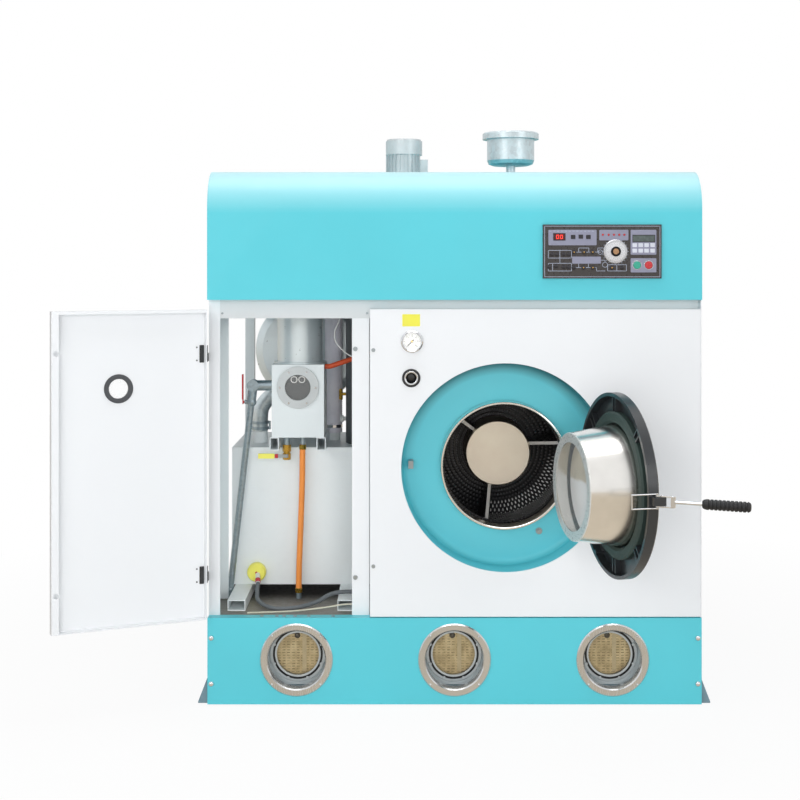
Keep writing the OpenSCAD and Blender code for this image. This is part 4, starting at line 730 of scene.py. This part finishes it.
for node, m in {
    "base_frame": frame_blue, "base_tank": tank_grey, "base_cover": cover_steel, "plinth": teal,
    "port_trims": trim_steel, "lintel": lintel_grey, "front_panel": white,
    "right_panel": white, "hood": teal, "hood_ends": teal, "hood_rear": teal, "recess_dish": recess_teal,
    "loading_ring": ring_steel, "tub": tank_grey, "tub_cradle": frame_blue, "drum_shaft": steel_dark,
    "bearing_housing": cast_grey, "drum_pulley": cast_grey, "motor_pulley": cast_grey,
    "drive_belts": black_rubber, "drive_motor": motor_blue, "door_gasket": gasket, "door_glass": pane,
    "hinge_brackets": black_paint, "hinge_arm": black_paint, "door_disc": black_paint,
    "latch_lever": chrome, "latch_grip": black_rubber, "latch_bail": chrome, "keeper": zinc,
    "control_panel": panel_film, "program_dial": dial_material(), "start_button": green_plastic,
    "stop_button": red_plastic, "pressure_gauge": chrome, "gauge_needle": black_plastic,
    "level_sight": black_plastic, "still_tank": tank_grey, "separator": box_grey,
    "vapour_column": bright_zinc, "condenser": bright_zinc, "filter_housing": cast_grey,
    "fan_motor": motor_alloy, "fan_housing": galv, "fan_impeller": galv, "roof_vessel": galv,
    "water_lever": red_plastic,
}.items():
    paint(node, m)

# White on the front lip's flat faces, grey elsewhere
paint("frame_posts", white, post_grey, pick=lambda c, n: c.y >= -0.5075 or abs(n.y) <= 0.9)
# The plinth's screws are chrome
paint("fasteners", zinc, chrome, pick=lambda c, n: c.z < 0.3)
# A rubber ring, and the pane within it
paint("window_ring", ring_rubber, pane,
      pick=lambda c, n: (shut(c).xz - Vector(SERVICE_WINDOW)).length < 0.0339)
# The drain valve under the separator is brass
paint("pipework", galv_pipe, brass, pick=lambda c, n: -0.66 < c.x < -0.6 and c.z < 0.8885)
# The hinge halves are black
paint("service_door", white, black_paint, pick=lambda c, n: shut(c).x < -0.8723)
# The bolt heads on the separator's flange are chrome
paint("sight_flanges", flange_steel, chrome, pick=lambda c, n: -0.3655 < c.y < -0.3601)
# The plinth's glasses are tinted, and the separator's is a clear pane
paint("sight_glasses", tinted, pane, pick=lambda c, n: c.y > -0.4)
# The plate of the handle is yellow
paint("drain_lever", zinc, yellow, pick=lambda c, n: c.x < -0.661)
# A yellow cap on a white strap
paint("heater_cap", yellow, white_plastic,
      pick=lambda c, n: (c.xz - Vector(HEATER_CAP)).length >= 0.0357 or c.y <= -0.2952)
# The rim round the glass is satin
paint("door_cone", cone_material(), rim_steel, pick=lambda c, n: (DOOR.inverted().to_3x3() @ n).y > 0.6)
# The lifters' sloping edges are pale steel: a painted highlight against the shaded drum
paint("drum", drum_material(), hub_steel, edge_steel, pick=drum_pick)

# A plate just behind the door glass that carries its painted reflections
turned("door_backing", band(0.0, 0.167, -0.4760, -0.4750), LOAD, inner_plate_material(), "loading_door",
       matrix=DOOR)

# ---- Hoses: the part's own routes, in millimetres ----
UNION_X, UNION_Y = -558, -320
SEPARATOR_RIGHT = -476.5
ORANGE = [(UNION_X, UNION_Y, 888), (UNION_X - 1, UNION_Y, 860), (UNION_X - 2, UNION_Y, 760),
          (UNION_X - 7, UNION_Y, 600), (UNION_X - 13, UNION_Y, 450), (UNION_X - 15, UNION_Y, 360),
          (UNION_X - 15, UNION_Y, 334)]
RED = [(SEPARATOR_RIGHT + 0.6, -300, 1180), (SEPARATOR_RIGHT + 20, -300, 1180.5), (-426.5, -300, 1190),
       (-372.5, -292, 1208), (-330, -262, 1222), (-314.9, -224.8, 1226)]
CONDUIT = [(-724, -340, 372), (-722, -385, 352), (-712, -430, 330), (-657, -500, 321), (-576, -500, 321),
           (-500, -455, 330), (-430, -436, 360), (-300, -432, 362), (-100, -434, 345), (300, -434, 326),
           (410, -428, 326), (430, -390, 326), (430, -200, 326), (428, -90, 350), (425, -50, 440),
           (430, -48, 510), (462, -48, 541), (514.6, -48, 543)]
THIN = [(-740, -548, 315.3), (-700, -548, 317), (-578, -548, 322), (-470, -548, 334), (-400, -548, 345),
        (-364.8, -548, 347)]
ELBOW = [(-739, -113, 916), (-739, -113, 960), (-731, -113, 1010), (-694, -111, 1052), (-644, -93, 1070),
         (-601, -43, 1070), (-595, 19.4, 1070)]
CAPILLARY = [(-150.6, -555.5, 1290.7), (-150.6, -520, 1290), (-190, -462, 1262), (-300, -400, 1216),
             (-376, -352, 1222), (-428, -346, 1268), (-437, -346, 1310), (-420, -345, 1356),
             (-402, -320, 1430), (-400, -240, 1520), (-400, -165, 1585), (-400, -130.2, 1600)]

for name, route, radius, m, kw in (
        ("orange_hose", ORANGE, 0.011, orange, {}), ("red_hose", RED, 0.0095, red_hose, {}),
        ("conduit_hose", CONDUIT, 0.008, grey_conduit, {"pitch": 0.004, "depth": 0.0009}),
        ("thin_hose", THIN, 0.003, straw_hose, {}),
        ("elbow_duct", ELBOW, 0.030, galv, {"sides": 40}),
        ("gauge_capillary", CAPILLARY, 0.0022, white_plastic, {"sides": 12})):
    obj, pts = hose(name, route, radius, m, **kw)
    if name != "gauge_capillary":
        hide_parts("hoses")


def ribbed_hose():
    """The wide lilac hose: plain ends, ribs between them, its upper neck and two clamps."""
    z0, z1, step = 0.900, 1.498, 0.004
    profile = [(0.0298, z0), (0.035, z0), (0.035, z0 + 0.068)]
    k = 0
    while z0 + 0.072 + k * step < z1 - 0.07:
        profile.append((0.0348 + 0.0012 * math.sin(k * math.pi + math.pi / 2), z0 + 0.072 + k * step))
        k += 1
    profile += [(0.035, z1 - 0.066), (0.035, z1), (0.0298, z1)]
    sleeve = turned("ribbed_sleeve", profile, SLEEVE, lilac, axis="Z", seg=48, angle=70)
    profile = [(0.0, 1.458), (0.0292, 1.458), (0.0295, 1.46), (0.0295, 1.5655), (0.0, 1.5655)]
    neck = turned("upper_neck", profile, SLEEVE, galv, axis="Z", seg=48)
    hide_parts("ribbed_hose")
    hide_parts("ribbed_hose")
    clamps = Batch()
    for z in (0.925, 1.478):
        clamps.lathe(band(0.0352, 0.036, z - 0.006, z + 0.006), SLEEVE, "Z", 48)
        clamps.rect(-0.462, -0.444, z - 0.005, z + 0.005, -0.064, -0.0645, 0.001)
    clamps.make("hose_clamps", chrome)


ribbed_hose()


# ---- Behind the sight glasses in the plinth: the pack of filter plates ----
plates = port_material()
for i, port_x in enumerate(PORTS):
    turned(f"filter_pack_{i}", band(0.0, 0.0815, -0.4965, -0.490), (port_x, PORT_Z), plates, seg=64)
    b = Batch()
    b.rect(port_x + 0.014, port_x + 0.029, PORT_Z - 0.073, PORT_Z + 0.070, -0.4962, -0.4985, 0.002, 0.0006)
    b.make(f"pack_band_{i}", band_mat)
    boss = [(0.0, -0.5015), (0.005, -0.5015), (0.009, -0.4995), (0.011, -0.4962), (0.0, -0.4962)]
    turned(f"pack_boss_{i}", boss, (port_x - 0.004, PORT_Z + 0.058), black_plastic, seg=32)
    turned(f"port_gasket_{i}", band(0.0822, 0.0895, -0.5332, -0.5318), (port_x, PORT_Z), black_rubber)

# ---- Separator sight: tube ends, and a dark disc behind the glass as painted shade inside the separator ----
turned("separator_back", band(0.0, 0.0475, -0.3485, -0.3478), SEPARATOR_SIGHT, inner_dark)
tubes = Batch()
for s in (-1, 1):
    tubes.lathe(band(0.0095, 0.0125, -0.3493, -0.3485), (SEPARATOR_SIGHT[0] + s * 0.0145, 1.134))
tubes.make("separator_tube_rims", edge_steel)

# ---- Digits ----
SEGMENTS = {"a": ((0, 1), (0.6, 1)), "b": ((0.6, 1), (0.6, 0.5)), "c": ((0.6, 0.5), (0.6, 0)),
            "d": ((0, 0), (0.6, 0)), "e": ((0, 0.5), (0, 0)), "f": ((0, 1), (0, 0.5)),
            "g": ((0, 0.5), (0.6, 0.5))}
DIGITS = {"0": "abcdef", "1": "bc", "2": "abged", "3": "abgcd", "4": "fgbc", "5": "afgcd", "6": "afgedc"}


def digit(batch, d, x, z, h, w, y0, y1):
    """A digit of straight strokes, its middle at x, z."""
    for s in DIGITS[d]:
        batch.line([(x + (u - 0.3) * h, z + (v - 0.5) * h) for u, v in SEGMENTS[s]], w, y0, y1)


# ---- Pressure gauge ----
CARD_Y, INK_Y = -0.6026, -0.6028      # faces of the card and of what is printed on it
turned("gauge_card", band(0.0, 0.0318, -0.6022, CARD_Y), GAUGE, dial_face, seg=64)
marks, numbers = Batch(), Batch()
for k in range(31):
    start, width = (0.0235, 0.0011) if k % 5 == 0 else (0.0262, 0.0005)
    marks.line([polar(GAUGE, start, 225 - k * 9), polar(GAUGE, 0.0288, 225 - k * 9)], width, CARD_Y, INK_Y)
marks.make("gauge_marks", ink)
for k in range(7):
    digit(numbers, str(k), *polar(GAUGE, 0.0192, 225 - k * 45), 0.0046, 0.0008, CARD_Y, INK_Y)
numbers.make("gauge_numbers", ink)
cap = [(0.0, -0.6085), (0.0025, -0.6083), (0.0038, -0.607), (0.004, -0.606), (0.0, -0.606)]
turned("gauge_needle_cap", cap, GAUGE, brass, "needle", seg=32)
turned("gauge_window", band(0.0, 0.0322, -0.6128, -0.6113), GAUGE, clear, seg=64)

# ---- Level sight: glass at the end of its tube ----
lens = [(0.0, -0.5795), (0.012, -0.5798), (0.0196, -0.5775), (0.0196, -0.5755), (0.0, -0.5755)]
turned("sight_lens", lens, LEVEL_SIGHT, sight_dark, seg=48)
ring = [(0.0192, -0.6079), (0.0205, -0.6086), (0.0235, -0.6086), (0.0243, -0.6079)]
turned("sight_bright_ring", ring, LEVEL_SIGHT, chrome, seg=72)

# ---- Plain plate where the photo shows a label: left blank ----
blank = Batch()
blank.rect(-0.185, -0.122, 1.344, 1.387, -0.600, -0.6006, 0.002, 0.0002)
blank.make("blank_plate_front", label_yellow)

# ---- Control panel: u runs right and v runs down over its face ----
FACE = -0.624                             # y of the panel's face
PAD = FACE - 0.0015                       # y of the raised pads on it
TOP = PAD - 0.0003                        # y of the film on those pads
CORNER_X, CORNER_Z = 0.311, 1.704         # upper left corner of the face
CORNER_U, CORNER_V = 135, 155             # the same corner in u and v
U_STEP, V_STEP = 0.3398e-3, 0.3375e-3     # metres for 1 of u and of v


def px(u):
    return CORNER_X + (u - CORNER_U) * U_STEP


def pz(v):
    return CORNER_Z - (v - CORNER_V) * V_STEP


def prect(b, u0, v0, u1, v1, y, rise, r=0.0, taper=0.0):
    b.rect(px(u0), px(u1), pz(v1), pz(v0), y, y - rise, r, taper)


def panel_pads():
    """Grey pads, thin frame lines, the dark displays and domes with their tips, and pale keys."""
    pads, lines, dark, tips, keys = Batch(), Batch(), Batch(), Batch(), Batch()
    for u0, v0, u1, v1 in ((190, 210, 690, 372), (718, 210, 1020, 320), (1043, 210, 1310, 470),
                           (1043, 507, 1310, 655)):
        prect(pads, u0, v0, u1, v1, PAD, 0.0003, 0.003)
    prect(pads, 437, 490, 735, 563, FACE, 0.0005, 0.002)
    pads.make("panel_pads", pad_film)
    for u0, v0, u1, v1 in ((150, 170, 1350, 174), (150, 699, 1350, 703), (150, 170, 154, 703),
                           (1346, 170, 1350, 703)):
        prect(lines, u0, v0, u1, v1, FACE, 0.0003)
    for k in range(12):
        prect(lines, 200 + k * 40, 222, 222 + k * 40, 226, TOP, 0.0001)
    lines.make("panel_lines", line_blue)
    prect(dark, 240, 245, 368, 323, TOP, 0.0006, 0.001)
    prect(dark, 1062, 262, 1298, 340, TOP, 0.0008, 0.001)
    for u, v in ((447, 285), (527, 282), (605, 285)):
        prect(dark, u - 24, v - 22, u + 24, v + 22, TOP, 0.0014, 0.002, 0.0006)
    plain = ((230, 467), (282, 467), (350, 467), (403, 467), (200, 597), (270, 590), (350, 600), (400, 600),
             (455, 605), (955, 605))
    tipped = ((457, 443), (560, 443), (650, 443), (555, 605), (652, 605), (850, 605))
    for u, v in plain + tipped:
        dark.lathe([(0.0, FACE - 0.0042), (0.0045, FACE - 0.0038), (0.0072, FACE - 0.0024), (0.0082, FACE)],
                   (px(u), pz(v)), seg=24)
    dark.make("panel_domes", key_dark)
    for u, v in tipped:
        tips.lathe([(0.0, FACE - 0.0046), (0.0018, FACE - 0.0044), (0.0026, FACE - 0.0036)],
                   (px(u), pz(v)), seg=20)
    tips.make("dome_tips", lamp_amber)
    for u in (1085, 1147, 1208, 1270):
        for v in (370, 428):
            prect(keys, u - 24, v - 21, u + 24, v + 21, TOP, 0.0012, 0.002, 0.0006)
    keys.make("panel_keys", key_white)


def panel_displays():
    """The windows of the two displays, lit digits and a row of lamps."""
    lcd, led, lit, lamps = Batch(), Batch(), Batch(), Batch()
    prect(lcd, 1068, 270, 1290, 332, PAD - 0.0011, 0.0002)
    lcd.make("lcd_window", window_material("display_glass", rgb("#46504E"), rgb("#5A6562"), 90, 0.12))
    prect(led, 247, 252, 361, 316, PAD - 0.0009, 0.0002)
    led.make("led_window", window_material("led_window", rgb("#3A0B0C"), rgb("#561214"), 60, 0.1))
    for i, d in enumerate("00"):
        digit(lit, d, px(285 + i * 40), pz(284), 0.012, 0.0022, PAD - 0.0011, PAD - 0.0013)
    lit.make("led_segments", segment_material())
    for u in (755, 815, 870, 925, 978):
        lamps.lathe([(0.0, PAD - 0.0035), (0.0028, PAD - 0.003), (0.004, PAD - 0.0012), (0.004, TOP)],
                    (px(u), pz(262)), seg=24)
    lamps.make("panel_lamps", lamp_red)


def mimic_diagram():
    """The plain pipe diagram in thin raised lines."""
    mimic = Batch()
    for track in (
            [(190, 505), (190, 425), (430, 425), (430, 505), (190, 505)], [(310, 425), (310, 505)],
            [(430, 443), (730, 443)], [(505, 443), (505, 400), (610, 400), (610, 443)],
            [(703, 443), (703, 400), (745, 400)],
            [(190, 560), (430, 560), (430, 640), (190, 640), (190, 560)],
            [(235, 560), (235, 640)], [(310, 505), (310, 560)], [(430, 605), (690, 605)],
            [(505, 605), (505, 563)], [(605, 605), (605, 563)], [(690, 605), (690, 640), (778, 640)],
            [(805, 575), (805, 640), (1000, 640), (1000, 575), (805, 575)], [(900, 575), (900, 640)],
            [(735, 527), (778, 527), (778, 548)]):
        mimic.line([(px(u), pz(v)) for u, v in track], 0.0014, FACE, FACE - 0.0003)
    for u, v, r in ((730, 443, 0.0085), (778, 575, 0.0095)):
        mimic.lathe([(r - 0.0012, FACE), (r - 0.0012, FACE - 0.0004), (r, FACE - 0.0004), (r, FACE)],
                    (px(u), pz(v)), seg=36)
    mimic.make("mimic_diagram", line_blue)


def panel_rings():
    """Chrome rings round the two buttons, and the marks round the dial."""
    rings, scale = Batch(), Batch()
    for x in (0.642, 0.683):
        rings.lathe([(0.0145, TOP), (0.0148, PAD - 0.0016), (0.0162, PAD - 0.0016), (0.0166, TOP)],
                    (x, 1.561), seg=48)
    rings.make("button_rings", chrome)
    for k in range(24):
        scale.line([polar(DIAL, 0.0435, k * 15), polar(DIAL, 0.0465, k * 15)], 0.0012, FACE, FACE - 0.0003)
    scale.make("dial_scale", line_blue)


panel_pads()
panel_displays()
mimic_diagram()
panel_rings()


# ---- Small fittings of the service bay ----
def elbow_clamp():
    """Two clamp bands round the elbow duct's lower end, with an ear on each side."""
    clamp = Batch()
    for z in (0.926, 0.948):
        clamp.lathe([(0.0302, z - 0.004), (0.0335, z - 0.005), (0.0345, z - 0.004), (0.0345, z + 0.004),
                     (0.0335, z + 0.005), (0.0302, z + 0.004)], ELBOW_DUCT, "Z", 48)
    for s in (-1, 1):
        x = ELBOW_DUCT[0] + s * 0.041
        clamp.rect(min(x, x - s * 0.008), max(x, x - s * 0.008), 0.920, 0.954, -0.117, -0.109, 0.002, 0.0008)
    clamp.make("elbow_clamp", galv_pipe)


def union_nuts():
    """Hexagon nuts with drawn-in ends, at both ends of the orange hose."""
    nuts = Batch()
    hexagon = [polar((0, 0), 0.0145, 60 * k + 30) for k in range(6)]
    for x, z in ((UNION_X / 1000, 0.879), (UNION_X / 1000 - 0.015, 0.342)):
        rings = [(0.86, z - 0.009), (1.0, z - 0.0075), (1.0, z + 0.0075), (0.86, z + 0.009)]
        verts = [(x + hx * k, UNION_Y / 1000 + hy * k, h) for k, h in rings for hx, hy in hexagon]
        faces = [list(range(6))[::-1], list(range(18, 24))]
        for r in range(0, 18, 6):
            faces += [[r + i, r + (i + 1) % 6, r + 6 + (i + 1) % 6, r + 6 + i] for i in range(6)]
        nuts.add(verts, faces)
    nuts.make("union_nuts", brass)


def filter_fittings():
    """The filter housing's vent valve and drain cap."""
    valve = Batch()
    valve.lathe([(0.0, -0.430), (0.009, -0.430), (0.010, -0.428), (0.010, -0.421), (0.006, -0.419),
                 (0.006, -0.405), (0.0, -0.405)], (-0.110, 1.058), "X", 24)
    valve.lathe([(0.0, 1.036), (0.0065, 1.036), (0.0075, 1.040), (0.0075, 1.072), (0.0055, 1.078),
                 (0.0, 1.079)], (-0.424, -0.110), "Z", 24)
    valve.make("filter_vent_valve", brass)
    cap = [(0.0, -0.428), (0.011, -0.427), (0.013, -0.424), (0.013, -0.414), (0.008, -0.412),
           (0.008, -0.405), (0.0, -0.405)]
    turned("filter_drain_cap", cap, (-0.112, 0.962), white_plastic, axis="X", seg=24)


def cap_and_lever_details():
    """The heater cap's hub and the bound end of its strap, and the drain lever's hub and collar."""
    pin = [(0.0, -0.2985), (0.004, -0.298), (0.0045, -0.2955), (0.0, -0.295)]
    turned("heater_cap_pin", pin, HEATER_CAP, red_plastic, seg=24)
    binding = [(0.0, 0.0), (0.0098, 0.0), (0.0102, 0.003), (0.0102, 0.016), (0.0098, 0.019), (0.0, 0.019)]
    lean = Vector((-0.006, 0.045, 0.025)).to_track_quat("Z", "Y").to_matrix().to_4x4()
    turned("strap_binding", binding, (0.0, 0.0), red_plastic, axis="Z", seg=24,
           matrix=Matrix.Translation((-0.7243, -0.3375, 0.3735)) @ lean)
    hub = [(0.0, -0.3535), (0.006, -0.3535), (0.0075, -0.352), (0.0075, -0.3505), (0.0, -0.3505)]
    turned("lever_hub", hub, (-0.618, 0.849), zinc, "drain_handle", seg=24)
    collar = Batch()
    collar.rect(-0.6605, -0.6475, 0.8412, 0.8568, -0.3435, -0.3525, 0.002, 0.0008)
    collar.make("lever_red_collar", red_plastic, "drain_handle")


def service_hinges():
    """Hinge leaves and their screws on the service door's inner face."""
    leaves, heads = Batch(), Batch()
    for z in (0.467, 1.248):
        leaves.rect(-0.8688, -0.8525, z - 0.031, z + 0.031, -0.5956, -0.5970, 0.002, 0.0004)
        for dz in (-0.023, 0.023):
            heads.lathe([(0.0, -0.5946), (0.0024, -0.5948), (0.0032, -0.5956), (0.0032, -0.5970),
                         (0.0, -0.5970)], (-0.8430, z + dz), seg=20)
    leaves.make("hinge_leaves", black_paint, "service_door", matrix=SERVICE)
    heads.make("hinge_screws", steel_dark, "service_door", matrix=SERVICE)


elbow_clamp()
union_nuts()
filter_fittings()
cap_and_lever_details()
service_hinges()

# ---- Bring the scene up to date ----
bpy.context.view_layer.update()
